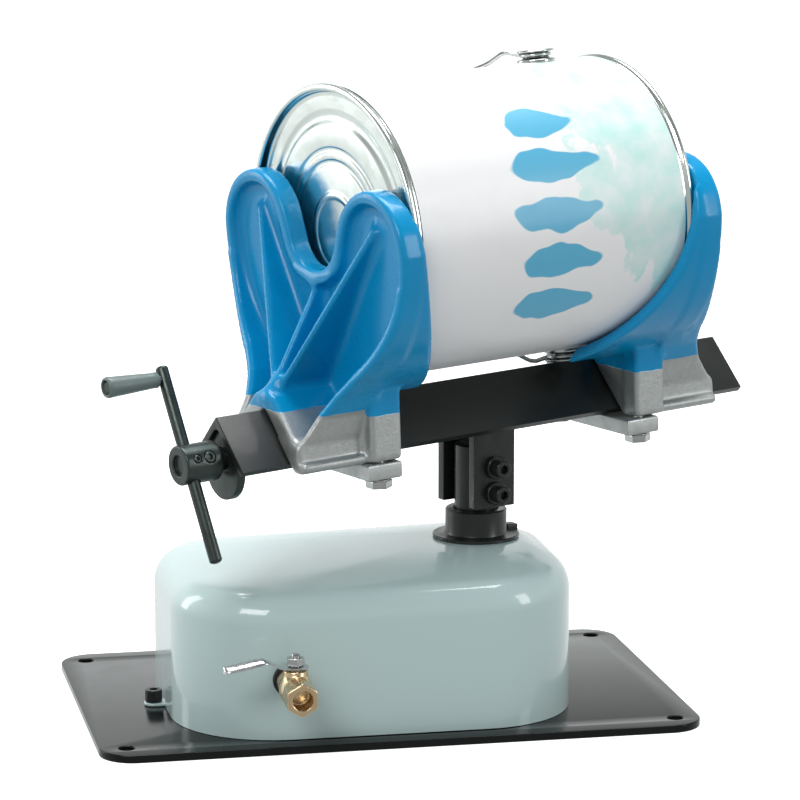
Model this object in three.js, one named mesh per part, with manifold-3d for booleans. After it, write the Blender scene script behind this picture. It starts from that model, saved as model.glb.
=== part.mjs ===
// Air-operated bench-top paint-can shaker, in millimetres, +Z up.
// Origin: centre of the base plate's bottom face. +X runs along the plate, -Y is the valve side.
// A base plate carries a domed housing with an air cylinder that rocks a vertical spindle.
// The spindle's bracket carries an angle-iron arm with two jaws that clamp a paint can on its side.
// A crank and lead screw under the ridge of the arm move the left jaw.

import * as THREE from "three";
import { mergeVertices } from "three/addons/utils/BufferGeometryUtils.js";
import Module from "manifold-3d";

const wasm = await Module();
wasm.setup();

// ---------------------------------------------------------------- driving dimensions
const GAP = 0.3; // between pieces that touch

const PLATE = { length: 342, depth: 224, thick: 4.5, corner: 20, holeX: 156, holeY: 96, holeR: 4.5 };
const HOUSING = { x0: -123.5, x1: 106, y0: -98.5, y1: 68, top: 96, wall: 3, fillet: 18, crown: 10, seat: 27 };
const HOUSING_CORNERS = [60, 58, 60, 46]; // front left, front right, back right, back left

const SPINDLE = { x: 58.75, y: -13, r: 12.5, z0: 8, z1: 151.3 };
const ARM_TURN = THREE.MathUtils.degToRad(22.2); // rest angle of the arm about the spindle
const ARM_TILT = THREE.MathUtils.degToRad(2); // right end of the arm slightly raised
const RIDGE_Z = 190.7; // height of the arm's ridge over the spindle

const RAIL = { u0: -174, u1: 172, leg: 38.1, thick: 4 };
const CAN = { u0: -95.5, u1: 94.5, axisW: 91.7, bodyR: 82.6, chimeR: 84, earU: 54 };
const CAN_ROLL = THREE.MathUtils.degToRad(7); // the upper ear leans to the back
const BAIL_SWING = THREE.MathUtils.degToRad(35); // towards the can's bottom end
const SCREW = { w: -24, r: 6, u0: -187.2, u1: -66 };
const CRANK = { u: -192.3, reach: 53.6, lean: THREE.MathUtils.degToRad(27), r: 3.6 };
const VALVE = { x: -66, z: 39.5, stemY: -122, frontY: -145 };
const CYLINDER = { y: 17, z: 50, r: 24, bore: 20 }; // 30 mm beside the spindle
const PIN_ARM = 30; // spindle axis to the cross pin

const JAW = { lipR: 92, canR: 84.6, rim: 14, foot: 48 };
// The curved inner edge of each lip, seen from the front: its radius and centre.
const LIP_EDGE = {
  left: { r: 170, x: -172, w: 106.7 },
  right: { r: 140, x: -142, w: 116.7 },
};

// ---------------------------------------------------------------- materials
const paint = (color, roughness, metalness = 0) =>
  new THREE.MeshStandardMaterial({ color, roughness, metalness });

const LOOK = {
  plateBlack: () => paint(0x24282a, 0.18, 0.3),
  housingGrey: () => paint(0xb9c8c8, 0.15, 0.1),
  jawBlue: () => paint(0x0a6db4, 0.25, 0.1),
  blackSteel: () => paint(0x2d302e, 0.45, 0.6),
  darkSteel: () => paint(0x46524f, 0.4, 0.7),
  brightSteel: () => paint(0xb8bcbc, 0.3, 0.9),
  aluminium: () => paint(0xa8b2b2, 0.4, 0.8),
  castIron: () => paint(0x5a5f5e, 0.6, 0.5),
  bronze: () => paint(0x9a7438, 0.35, 0.9),
  brass: () => paint(0xc2a05c, 0.3, 0.9),
  rubber: () => paint(0x1c1d1d, 0.8, 0),
  gripGrey: () => paint(0x5f736e, 0.5, 0),
  canTin: () => paint(0xc3d7d4, 0.25, 0.8),
};

// ---------------------------------------------------------------- solids
function solid(geometry) {
  const plain = geometry.index ? geometry.toNonIndexed() : geometry.clone();
  plain.deleteAttribute("normal");
  plain.deleteAttribute("uv");
  const merged = mergeVertices(plain, 1e-4);
  const vertProperties = new Float32Array(merged.attributes.position.array);
  const triVerts = new Uint32Array(merged.index.array);
  const make = () => new wasm.Manifold(new wasm.Mesh({ numProp: 3, vertProperties, triVerts }));
  const made = make();
  if (made.volume() >= 0) return made;
  for (let i = 0; i < triVerts.length; i += 3) {
    [triVerts[i + 1], triVerts[i + 2]] = [triVerts[i + 2], triVerts[i + 1]];
  }
  return make();
}

function geometryOf(manifold) {
  const mesh = manifold.getMesh();
  const geometry = new THREE.BufferGeometry();
  const positions = new Float32Array(mesh.numVert * 3);
  for (let i = 0; i < mesh.numVert; i++) {
    for (let k = 0; k < 3; k++) positions[3 * i + k] = mesh.vertProperties[mesh.numProp * i + k];
  }
  geometry.setAttribute("position", new THREE.BufferAttribute(positions, 3));
  geometry.setIndex(new THREE.BufferAttribute(new Uint32Array(mesh.triVerts), 1));
  const flat = geometry.toNonIndexed();
  flat.computeVertexNormals();
  return flat;
}

const join = (first, ...others) => others.reduce((sum, other) => sum.add(other), first);
const cut = (first, ...others) => others.reduce((rest, other) => rest.subtract(other), first);

// ---------------------------------------------------------------- outlines and prisms
const circle = (r, count = 24, cx = 0, cy = 0) =>
  Array.from({ length: count }, (_, i) => {
    const a = (2 * Math.PI * (i + 0.5)) / count;
    return [cx + r * Math.cos(a), cy + r * Math.sin(a)];
  });

const arc = (cx, cy, r, fromDeg, toDeg, steps) =>
  Array.from({ length: steps + 1 }, (_, i) => {
    const a = THREE.MathUtils.degToRad(fromDeg + ((toDeg - fromDeg) * i) / steps);
    return [cx + r * Math.cos(a), cy + r * Math.sin(a)];
  });

const hexagon = (acrossFlats) => circle(acrossFlats / Math.sqrt(3), 6);

// A half outline on the positive side of the vertical axis, closed by its mirror image.
const mirrored = (half) => [
  ...half,
  ...half.filter(([v]) => v > 1e-6).reverse().map(([v, w]) => [-v, w]),
];

const smooth = (points, divisions) =>
  new THREE.SplineCurve(points.map(([x, y]) => new THREE.Vector2(x, y)))
    .getPoints(divisions)
    .map((p) => [p.x, p.y]);

function vectors(outline) {
  const points = outline.map(([x, y]) => new THREE.Vector2(x, y));
  return THREE.ShapeUtils.isClockWise(points) ? points.reverse() : points;
}

function extrude(outline, depth, holes = []) {
  const shape = new THREE.Shape(vectors(outline));
  for (const hole of holes) shape.holes.push(new THREE.Path(vectors(hole)));
  return new THREE.ExtrudeGeometry(shape, { depth, bevelEnabled: false, curveSegments: 1 });
}

const X = new THREE.Vector3(1, 0, 0);
const Y = new THREE.Vector3(0, 1, 0);
const Z = new THREE.Vector3(0, 0, 1);

// Prisms along each axis. Outlines are given as [y, z], [x, z] and [x, y].
const alongX = (outline, x0, x1, holes) =>
  extrude(outline, x1 - x0, holes)
    .applyMatrix4(new THREE.Matrix4().makeBasis(Y, Z, X))
    .translate(x0, 0, 0);

const swap = (outline) => outline.map(([x, z]) => [z, x]);
const alongY = (outline, y0, y1, holes = []) =>
  extrude(swap(outline), y1 - y0, holes.map(swap))
    .applyMatrix4(new THREE.Matrix4().makeBasis(Z, X, Y))
    .translate(0, y0, 0);

const alongZ = (outline, z0, z1, holes) => extrude(outline, z1 - z0, holes).translate(0, 0, z0);

const box = (x0, x1, y0, y1, z0, z1) =>
  new THREE.BoxGeometry(x1 - x0, y1 - y0, z1 - z0).translate(
    (x0 + x1) / 2,
    (y0 + y1) / 2,
    (z0 + z1) / 2,
  );

// A cylinder or cone between two points.
function rod(from, to, r0, r1 = r0, count = 20) {
  const a = new THREE.Vector3(...from);
  const b = new THREE.Vector3(...to);
  const direction = b.clone().sub(a);
  return new THREE.CylinderGeometry(r1, r0, direction.length(), count)
    .applyQuaternion(new THREE.Quaternion().setFromUnitVectors(Y, direction.clone().normalize()))
    .translate(...a.add(b).multiplyScalar(0.5).toArray());
}

const ball = (x, y, z, r, count = 14) =>
  new THREE.SphereGeometry(r, count, Math.round(count / 2)).translate(x, y, z);

const shift = (outline, dx, dy) => outline.map(([x, y]) => [x + dx, y + dy]);

// ---------------------------------------------------------------- scene graph
const shaker = new THREE.Group();
const spindleGroup = new THREE.Group(); // turned with the arm, kept upright
const armGroup = new THREE.Group(); // u along the ridge, v across it, w up from the ridge
spindleGroup.position.set(SPINDLE.x, SPINDLE.y, 0);
spindleGroup.rotation.z = ARM_TURN;
armGroup.position.set(SPINDLE.x, SPINDLE.y, RIDGE_Z);
armGroup.rotation.set(0, -ARM_TILT, ARM_TURN, "ZYX");
shaker.add(spindleGroup, armGroup);

function put(name, shape, material, parent = shaker) {
  const geometry = shape.isBufferGeometry ? geometryOf(solid(shape)) : geometryOf(shape);
  const mesh = new THREE.Mesh(geometry, material);
  mesh.name = name;
  parent.add(mesh);
  return mesh;
}

// ---------------------------------------------------------------- base plate
function roundedRectangle(x0, x1, y0, y1, radii, inset = 0, steps = 6) {
  const [frontLeft, frontRight, backRight, backLeft] = radii;
  return [
    ...arc(x0 + frontLeft, y0 + frontLeft, frontLeft - inset, 180, 270, steps),
    ...arc(x1 - frontRight, y0 + frontRight, frontRight - inset, 270, 360, steps),
    ...arc(x1 - backRight, y1 - backRight, backRight - inset, 0, 90, steps),
    ...arc(x0 + backLeft, y1 - backLeft, backLeft - inset, 90, 180, steps),
  ];
}

const plateOutline = roundedRectangle(
  -PLATE.length / 2,
  PLATE.length / 2,
  -PLATE.depth / 2,
  PLATE.depth / 2,
  Array(4).fill(PLATE.corner),
);
const plateHoles = [-1, 1].flatMap((sx) =>
  [-1, 1].map((sy) => circle(PLATE.holeR, 16, sx * PLATE.holeX, sy * PLATE.holeY)),
);
put("base_plate", alongZ(plateOutline, 0, PLATE.thick, plateHoles), LOOK.plateBlack());

// ---------------------------------------------------------------- housing
const floorZ = PLATE.thick + GAP;

// Skins rings of equal length into one closed surface; the last ring joins the first.
function skinRings(rings) {
  const count = rings[0].length;
  const position = [];
  rings.forEach((ring, i) => {
    const next = rings[(i + 1) % rings.length];
    for (let k = 0; k < count; k++) {
      const a = ring[k];
      const b = ring[(k + 1) % count];
      const c = next[(k + 1) % count];
      const d = next[k];
      position.push(...a, ...b, ...c, ...a, ...c, ...d);
    }
  });
  const geometry = new THREE.BufferGeometry();
  geometry.setAttribute("position", new THREE.Float32BufferAttribute(position, 3));
  return geometry;
}

// A crowned cover: flat round the spindle's collar, falling gently to a rounded edge.
function housingShell() {
  const { x0, x1, y0, y1, top, wall, fillet, crown, seat } = HOUSING;
  const plan = (inset) => roundedRectangle(x0, x1, y0, y1, HOUSING_CORNERS, inset, 6);
  const level = (inset, z) => plan(inset).map(([x, y]) => [x, y, z]);
  const last = THREE.MathUtils.degToRad(74);
  const edge = plan(fillet * (1 - Math.cos(last))).map(([x, y]) => {
    const away = Math.hypot(x - SPINDLE.x, y - SPINDLE.y) - seat;
    const turn = Math.atan2(y - SPINDLE.y, x - SPINDLE.x);
    return { x, y, turn, drop: crown * (1 - Math.exp(-away / 30)) };
  });
  const roundIn = (r, z) => edge.map(({ turn }) => [SPINDLE.x + r * Math.cos(turn), SPINDLE.y + r * Math.sin(turn), z]);
  const rounded = (inset, r) =>
    [0, 0.28, 0.54, 0.78, 1].map((share) =>
      plan(inset + r * (1 - Math.cos(last * share))).map(([x, y], k) => [
        x,
        y,
        top - edge[k].drop - fillet * Math.sin(last) + r * Math.sin(last * share),
      ]),
    );
  const crowned = (share, below) =>
    edge.map(({ x, y, turn, drop }) => [
      x + (SPINDLE.x + seat * Math.cos(turn) - x) * share,
      y + (SPINDLE.y + seat * Math.sin(turn) - y) * share,
      top - below - drop * (1 - share) ** 1.7,
    ]);
  return skinRings([
    level(0, floorZ),
    ...rounded(0, fillet),
    crowned(0.3, 0),
    crowned(0.65, 0),
    roundIn(seat, top),
    roundIn(18.4, top),
    roundIn(18.4, top - wall),
    roundIn(seat, top - wall),
    crowned(0.65, wall),
    crowned(0.3, wall),
    ...rounded(wall, fillet - wall).reverse(),
    level(wall, floorZ),
  ]);
}

// Screw tabs at the foot of the housing: where each stands and which way it points.
const TABS = [
  { name: "left", x: HOUSING.x0, y: -10, turn: 180 },
  { name: "back_left", x: -60, y: HOUSING.y1, turn: 90 },
  { name: "back_right", x: 30, y: HOUSING.y1, turn: 90 },
];
const TAB_REACH = 5.8;
const TAB_THICK = 1.6;

const tabPoint = ({ x, y, turn }, reach) => {
  const a = THREE.MathUtils.degToRad(turn);
  return [x + reach * Math.cos(a), y + reach * Math.sin(a)];
};

const tabSolids = TABS.map((tab) => {
  const a = THREE.MathUtils.degToRad(tab.turn);
  const blank = alongZ(
    [[-2, -5.6], [TAB_REACH, -5.6], ...arc(TAB_REACH, 0, 5.6, -60, 60, 4), [TAB_REACH, 5.6], [-2, 5.6]],
    floorZ,
    floorZ + TAB_THICK,
  );
  return solid(blank.rotateZ(a).translate(tab.x, tab.y, 0));
});
const tabHoles = TABS.map((tab) => {
  const [x, y] = tabPoint(tab, TAB_REACH);
  return solid(rod([x, y, 0], [x, y, 12], 3.4));
});

put(
  "housing",
  cut(
    join(solid(housingShell()), ...tabSolids),
    ...tabHoles,
    solid(alongY(circle(7, 24, VALVE.x, VALVE.z), HOUSING.y0 - 5, HOUSING.y0 + 8)),
  ),
  LOOK.housingGrey(),
);

// Socket-head cap screw standing up: head at the top, threaded end below.
function capScrew(headR, headH, socketR, shankR, length) {
  const head = solid(alongZ(circle(headR, 24), 0, headH));
  const shank = solid(alongZ(circle(shankR, 16), -length, 0.5));
  const socket = solid(alongZ(hexagon(socketR * Math.sqrt(3)), headH * 0.45, headH + 1));
  return cut(join(head, shank), socket);
}

for (const tab of TABS) {
  const [x, y] = tabPoint(tab, TAB_REACH);
  const screw = put(`housing_screw_${tab.name}`, capScrew(4.9, 7, 2.8, 3, 1.7), LOOK.blackSteel());
  screw.position.set(x, y, floorZ + TAB_THICK + GAP);
}

// ---------------------------------------------------------------- spindle collar and bearings
const collarZ = HOUSING.top + GAP;
const collarTab = box(20, 26.5, -3.5, 3.5, collarZ, collarZ + 4.5).rotateZ(
  THREE.MathUtils.degToRad(20),
);
put(
  "spindle_collar",
  cut(
    join(
      solid(alongZ(circle(25, 36), collarZ, collarZ + 1.8)),
      solid(alongZ(circle(17.75, 32), collarZ, 113)),
      solid(collarTab),
    ),
    solid(alongZ(circle(SPINDLE.r + 0.5, 32), collarZ - 1, 120)),
  ).translate([SPINDLE.x, SPINDLE.y, 0]),
  LOOK.blackSteel(),
);

put(
  "bearing_pedestal",
  cut(
    solid(box(-32, 32, -30, 24, floorZ, 88.3)),
    solid(box(-40, 40, -22, 30, 30, 70)),
    solid(alongZ(circle(16.3, 28), floorZ - 1, 100)),
  ).translate([SPINDLE.x, SPINDLE.y, 0]),
  LOOK.castIron(),
);

for (const [name, z0, z1] of [["lower_bearing", 8, 29.7], ["upper_bearing", 70.3, 88]]) {
  put(
    name,
    alongZ(circle(16, 28), z0, z1, [circle(SPINDLE.r + GAP, 28)]).translate(SPINDLE.x, SPINDLE.y, 0),
    LOOK.bronze(),
  );
}
put(
  "thrust_washer",
  rod([SPINDLE.x, SPINDLE.y, floorZ], [SPINDLE.x, SPINDLE.y, 7.7], 15.5, 15.5, 24),
  LOOK.brightSteel(),
);

// ---------------------------------------------------------------- air cylinder
const atCylinder = (outline) => shift(outline, CYLINDER.y, CYLINDER.z);

put(
  "cylinder_tube",
  alongX(atCylinder(circle(CYLINDER.r, 32)), -98, -18, [atCylinder(circle(CYLINDER.bore, 32))]),
  LOOK.aluminium(),
);
const capOutline = atCylinder(roundedRectangle(-25, 25, -25, 25, [5, 5, 5, 5], 0, 2));
put("cylinder_rear_cap", alongX(capOutline, -110, -98.3), LOOK.darkSteel());
put(
  "cylinder_front_cap",
  alongX(capOutline, -17.7, -6, [atCylinder(circle(5.5, 20))]),
  LOOK.darkSteel(),
);
for (const [name, x] of [["cylinder_foot_rear", -88], ["cylinder_foot_front", -30]]) {
  put(
    name,
    box(x - 6, x + 6, CYLINDER.y - 20, CYLINDER.y + 20, floorZ, CYLINDER.z - CYLINDER.r - GAP),
    LOOK.darkSteel(),
  );
}
put(
  "exhaust_silencer",
  rod([-12, CYLINDER.y - 25.3, 50], [-12, CYLINDER.y - 43, 50], 6.5, 6, 16),
  LOOK.bronze(),
);

// Feed hose from the tail of the valve to a fitting on the rear cap.
const fittingY = CYLINDER.y - 25 - GAP;
put("hose_fitting", rod([-104, fittingY, 50], [-104, fittingY - 8, 50], 6, 6, 6), LOOK.brass());
const hosePath = new THREE.CubicBezierCurve3(
  new THREE.Vector3(-104, fittingY - 8.3, 50),
  new THREE.Vector3(-104, fittingY - 40, 50),
  new THREE.Vector3(VALVE.x, -55, VALVE.z),
  new THREE.Vector3(VALVE.x, -84.7 + 1, VALVE.z),
);
put(
  "air_hose",
  new THREE.ExtrudeGeometry(
    new THREE.Shape(vectors(circle(4.5, 10))),
    { steps: 14, extrudePath: hosePath, bevelEnabled: false },
  ),
  LOOK.rubber(),
);

// ---------------------------------------------------------------- piston, rod and crosshead
const pinY = SPINDLE.y + PIN_ARM;
put(
  "piston",
  alongX(atCylinder(circle(19.6, 32)), -66, -52, [atCylinder(circle(5.3, 20))]),
  LOOK.aluminium(),
);
put(
  "piston_rod",
  alongX(atCylinder(circle(5, 20)), -66, 46.7),
  LOOK.brightSteel(),
);
put(
  "rod_clevis",
  cut(
    solid(box(40, 69, pinY - 11, pinY + 11, 34, 66)),
    solid(box(47, 80, pinY - 20, pinY + 20, 40, 60)),
    solid(alongX(atCylinder(circle(5.3, 20)), 38, 50)),
    solid(rod([SPINDLE.x, pinY, 20], [SPINDLE.x, pinY, 80], 4.3)),
  ),
  LOOK.blackSteel(),
);
put(
  "drive_pin",
  rod([SPINDLE.x, pinY, 32], [SPINDLE.x, pinY, 68], 4),
  LOOK.brightSteel(),
);

// ---------------------------------------------------------------- spindle and rocker
const screwHeights = [139.6, 124.6];
put(
  "spindle",
  cut(
    solid(alongZ(circle(SPINDLE.r, 32), SPINDLE.z0, SPINDLE.z1)),
    ...screwHeights.map((z) => solid(rod([0, -20, z], [0, 20, z], 3.4))),
  ),
  LOOK.blackSteel(),
  spindleGroup,
);
put(
  "rocker",
  cut(
    join(
      solid(alongZ(circle(18.5, 32), 42, 58)),
      solid(box(-8.5, 8.5, 10, 42, 42, 58)),
    ),
    solid(alongZ(circle(SPINDLE.r + GAP, 32), 30, 70)),
    solid(box(-4.4, 4.4, PIN_ARM - 6, 50, 30, 70)),
  ).translate([SPINDLE.x, SPINDLE.y, 0]),
  LOOK.castIron(),
);

// ---------------------------------------------------------------- bracket
const PLATE_IN = SPINDLE.r + GAP;
const PLATE_OUT = 18.5;
for (const [name, side] of [["bracket_plate_front", -1], ["bracket_plate_rear", 1]]) {
  const outline = [
    [side * PLATE_IN, 116.1],
    [side * PLATE_OUT, 116.1],
    [side * PLATE_OUT, RIDGE_Z - 6.8 - PLATE_OUT - 1.2],
    [side * PLATE_IN, RIDGE_Z - 6.8 - PLATE_IN - 1.2],
  ];
  put(
    name,
    cut(
      solid(alongX(outline, -14, 14)),
      ...screwHeights.map((z) => solid(rod([0, -30, z], [0, 30, z], 3.4))),
    ),
    LOOK.blackSteel(),
    spindleGroup,
  );
}
screwHeights.forEach((z, i) => {
  const name = ["upper", "lower"][i];
  const washer = [PLATE_OUT + GAP, PLATE_OUT + GAP + 3];
  put(
    `bracket_washer_${name}`,
    alongY(circle(6.7, 24, 0, z), -washer[1], -washer[0], [circle(3.4, 20, 0, z)]),
    LOOK.blackSteel(),
    spindleGroup,
  );
  const screw = put(
    `bracket_screw_${name}`,
    capScrew(5, 6.2, 2.8, 3, 46),
    LOOK.blackSteel(),
    spindleGroup,
  );
  screw.rotation.x = Math.PI / 2;
  screw.position.set(0, -washer[1] - GAP, z);
  put(
    `bracket_nut_${name}`,
    alongY(shift(hexagon(10), 0, z), PLATE_OUT + GAP, PLATE_OUT + 5.3, [circle(3.3, 20, 0, z)]),
    LOOK.blackSteel(),
    spindleGroup,
  );
});

// ---------------------------------------------------------------- arm rail
const edge = RAIL.leg / Math.SQRT2;
const step = RAIL.thick / Math.SQRT2;
const railSection = [
  [0, 0],
  [-edge, -edge],
  [-edge + step, -edge - step],
  [0, -2 * step],
  [edge - step, -edge - step],
  [edge, -edge],
];
put("arm_rail", alongX(railSection, RAIL.u0, RAIL.u1), LOOK.blackSteel(), armGroup);

const endPlateOutline = [
  [0, -2 * step - 0.6],
  [-17.6, -2 * step - 18.2],
  ...arc(0, -29.5, 17.6, 180, 360, 12),
  [17.6, -2 * step - 18.2],
];
put(
  "rail_end_plate",
  alongX(endPlateOutline, RAIL.u0 + 2.4, RAIL.u0 + 7.4, [circle(SCREW.r + GAP, 20, 0, SCREW.w)]),
  LOOK.darkSteel(),
  armGroup,
);

// ---------------------------------------------------------------- lead screw and crank
const atScrew = (outline) => shift(outline, 0, SCREW.w);
put(
  "lead_screw",
  alongX(atScrew(circle(SCREW.r, 20)), SCREW.u0, SCREW.u1),
  LOOK.darkSteel(),
  armGroup,
);
put(
  "screw_collar",
  alongX(atScrew(circle(9, 24)), RAIL.u0 + 7.8, RAIL.u0 + 13, [
    atScrew(circle(SCREW.r + GAP, 20)),
  ]),
  LOOK.darkSteel(),
  armGroup,
);

const crankWay = [0, Math.sin(CRANK.lean), Math.cos(CRANK.lean)]; // towards the grip end
const alongCrank = (distance, u = CRANK.u) => [
  u,
  distance * crankWay[1],
  SCREW.w + distance * crankWay[2],
];
const setWay = new THREE.Vector3(0, -0.9, 0.436); // the hub's set screws face front and up
const alongSet = (u, distance) => [u, distance * setWay.y, SCREW.w + distance * setWay.z];
const SET_SCREWS = [
  { name: "hub_set_screw", u: -184, r: 3.2 },
  { name: "hub_lock_screw", u: -191.8, r: 2.2 },
];

put(
  "crank_hub",
  cut(
    solid(alongX(atScrew(circle(11.1, 32)), -199, RAIL.u0 - 2.3)),
    solid(alongX(atScrew(circle(SCREW.r + GAP, 20)), SCREW.u0 - GAP, -160)),
    solid(alongX(atScrew(circle(5.8, 20)), -205, -197.1)),
    solid(rod(alongCrank(-30), alongCrank(30), CRANK.r + GAP)),
    ...SET_SCREWS.map(({ u, r }) => solid(rod(alongSet(u, 8), alongSet(u, 15), r + 0.3))),
  ),
  LOOK.darkSteel(),
  armGroup,
);
for (const { name, u, r } of SET_SCREWS) {
  put(name, rod(alongSet(u, 8.3), alongSet(u, 10.9), r, r, 16), LOOK.darkSteel(), armGroup);
}

const gripFrom = CRANK.u - CRANK.r - 1;
const gripTo = -229.5;
put(
  "crank_arm",
  join(
    solid(rod(alongCrank(-CRANK.reach), alongCrank(CRANK.reach), CRANK.r)),
    solid(ball(...alongCrank(-CRANK.reach), CRANK.r)),
    solid(ball(...alongCrank(CRANK.reach), CRANK.r)),
    solid(rod(alongCrank(CRANK.reach - 4), alongCrank(CRANK.reach - 4, gripTo + 3), 2.3)),
    solid(rod(alongCrank(CRANK.reach - 4, gripTo + 3), alongCrank(CRANK.reach - 4, gripTo + 1), 3.6)),
  ),
  LOOK.darkSteel(),
  armGroup,
);
put(
  "crank_grip",
  cut(
    solid(
      rod(
        alongCrank(CRANK.reach - 4, gripFrom),
        alongCrank(CRANK.reach - 4, gripTo),
        4.4,
        6,
        24,
      ),
    ),
    solid(rod(alongCrank(CRANK.reach - 4, -150), alongCrank(CRANK.reach - 4, -240), 2.7)),
    solid(rod(alongCrank(CRANK.reach - 4, gripTo + 3.4), alongCrank(CRANK.reach - 4, -240), 4.2)),
  ),
  LOOK.gripGrey(),
  armGroup,
);

// ---------------------------------------------------------------- jaws
// Built for the right end: x points out from the can's end, y across the arm, z up from the ridge.
const lobe = [
  [0, 72.5], [12, 75.3], [20.5, 83.5], [25, 95], [31, 108], [42, 118.3],
  [55, 122.8], [68, 121.5], [80, 115], [88.2, 104], [92, 91.7],
];
const lobeInside = [
  [0, 65.5], [14, 68.5], [26, 78], [31.5, 93], [37, 105.5], [46, 113.5],
  [56, 116.5], [67, 115], [76.5, 109.5], [83, 100.5], [85.5, 91.7],
];

function jawSolid(edgeOfLip, boltX) {
  const cupHalf = [
    ...smooth(lobe, 22),
    ...arc(0, CAN.axisW, JAW.lipR, -8, -88, 12),
    [0, CAN.axisW - JAW.lipR],
  ];
  const skirtHalf = [
    ...smooth(lobe, 22),
    ...arc(0, CAN.axisW, JAW.lipR, -8, -52, 6),
    [47, 9], [40, -2], [37.5, -13], [37.5, -29.8], [0, -29.8],
  ];
  const pocketHalf = [
    ...smooth(lobeInside, 18),
    ...arc(0, CAN.axisW, 85.5, -8, -50, 6),
    [43, 13], [36, 2], [33.5, -8], [33.5, -20], [22, -14], [0, 6],
  ];
  const saddleHalf = [[0, 10.5], [9, 8], [35, -18], [37.5, -24], [37.5, -29.8], [0, -29.8]];

  const cup = solid(alongX(mirrored(cupHalf), -60, JAW.rim));
  const skirt = solid(alongX(mirrored(skirtHalf), 1, JAW.foot));
  const pocket = solid(alongX(mirrored(pocketHalf), 6.5, JAW.foot + 5));
  const saddle = solid(alongX(mirrored(saddleHalf), -14, JAW.foot));
  const boss = solid(box(-14, 6.5, -45, 45, -29.8, 15));

  // The lip reaches further under the can the lower it goes; the skirt flares towards the foot.
  const lipEdge = solid(
    alongY(circle(edgeOfLip.r, 96, edgeOfLip.x, edgeOfLip.w), -120, 120),
  );
  const skirtEdge = solid(alongY(circle(140, 96, JAW.rim + 140, 75), -120, 120));
  const aboveSkirt = solid(box(JAW.rim, 100, -120, 120, 75, 200));
  const underLip = solid(box(-61, -14, -32, 32, -60, 30));

  // Ribs from the top of the saddle to the lobes and to the valley between them.
  const rib = (reach, rimAt, thick, turn) =>
    solid(
      alongY(
        [[3, 0], [43, 0], [38, 13], [rimAt, reach - 8], [rimAt, reach], [3, reach]],
        -thick / 2,
        thick / 2,
      )
        .rotateX(turn)
        .translate(0, 0, 6),
    );
  const lobeTurn = Math.atan2(60, 98);
  const ribs = [rib(113, JAW.rim - 0.5, 4.5, lobeTurn), rib(113, JAW.rim - 0.5, 4.5, -lobeTurn)];
  const middleRib = rib(63, JAW.rim - 0.5, 5.5, 0);

  const shell = cut(join(cup, skirt), skirtEdge, aboveSkirt, pocket);
  const whole = join(shell, saddle, boss, middleRib, ...ribs);
  const canRoom = solid(alongX(shift(circle(JAW.canR, 64), 0, CAN.axisW), -80, 0.5));
  const canWayOut = solid(box(-80, 0.5, -JAW.canR, JAW.canR, CAN.axisW, 200)); // it lifts straight up
  const railNotch = solid(alongX([[0, 0.7], [-70, -69.3], [70, -69.3]], -100, 100));
  const boltHoles = [-38, 38].map((v) => solid(rod([boltX, v, -40], [boltX, v, -10], 4.4)));
  return cut(whole, lipEdge, underLip, canRoom, canWayOut, railNotch, ...boltHoles);
}

// The bar under each jaw: its two sides along the arm and where its bolts stand.
const KEEPER = { left: { x0: -13, x1: 9, bolt: -2 }, right: { x0: -20.5, x1: 1.5, bolt: -8.5 } };
const keeper = ({ x0, x1, bolt }) =>
  cut(
    solid(box(x0, x1, -45, 45, -40, -30.5)),
    ...[-38, 38].map((v) => solid(rod([bolt, v, -50], [bolt, v, -20], 4.4))),
  );
const keeperBolt = () =>
  join(solid(alongZ(hexagon(13), -45.3, -40.3)), solid(alongZ(circle(4, 16), -40.4, -13)));

for (const [side, u, turn] of [["left", CAN.u0, Math.PI], ["right", CAN.u1, 0]]) {
  const group = new THREE.Group();
  group.position.x = u;
  group.rotation.z = turn;
  armGroup.add(group);
  put(`${side}_jaw`, jawSolid(LIP_EDGE[side], KEEPER[side].bolt), LOOK.jawBlue(), group);
  const nutRoom = solid(alongX(atScrew(circle(10.6, 24)), -30, 30));
  const bar = keeper(KEEPER[side]);
  put(`${side}_keeper`, side === "left" ? cut(bar, nutRoom) : bar, LOOK.aluminium(), group);
  for (const [end, v] of [["front", -38], ["rear", 38]]) {
    const place = side === "left" ? -v : v;
    const bolt = put(`${side}_bolt_${end}`, keeperBolt(), LOOK.brightSteel(), group);
    bolt.position.set(KEEPER[side].bolt, place, 0);
  }
}
put(
  "jaw_nut",
  alongX(atScrew(circle(10, 24)), CAN.u0 - 8, CAN.u0 + 16, [atScrew(circle(SCREW.r + GAP, 20))]),
  LOOK.bronze(),
  armGroup,
);

// ---------------------------------------------------------------- paint can
// Lathe profiles as [radius, distance from the can's bottom end], turned onto the arm's u axis.
function turned(profile, segments = 48) {
  return new THREE.LatheGeometry(profile.map(([r, t]) => new THREE.Vector2(r, t)), segments)
    .rotateZ(-Math.PI / 2)
    .translate(CAN.u0, 0, CAN.axisW);
}

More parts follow.
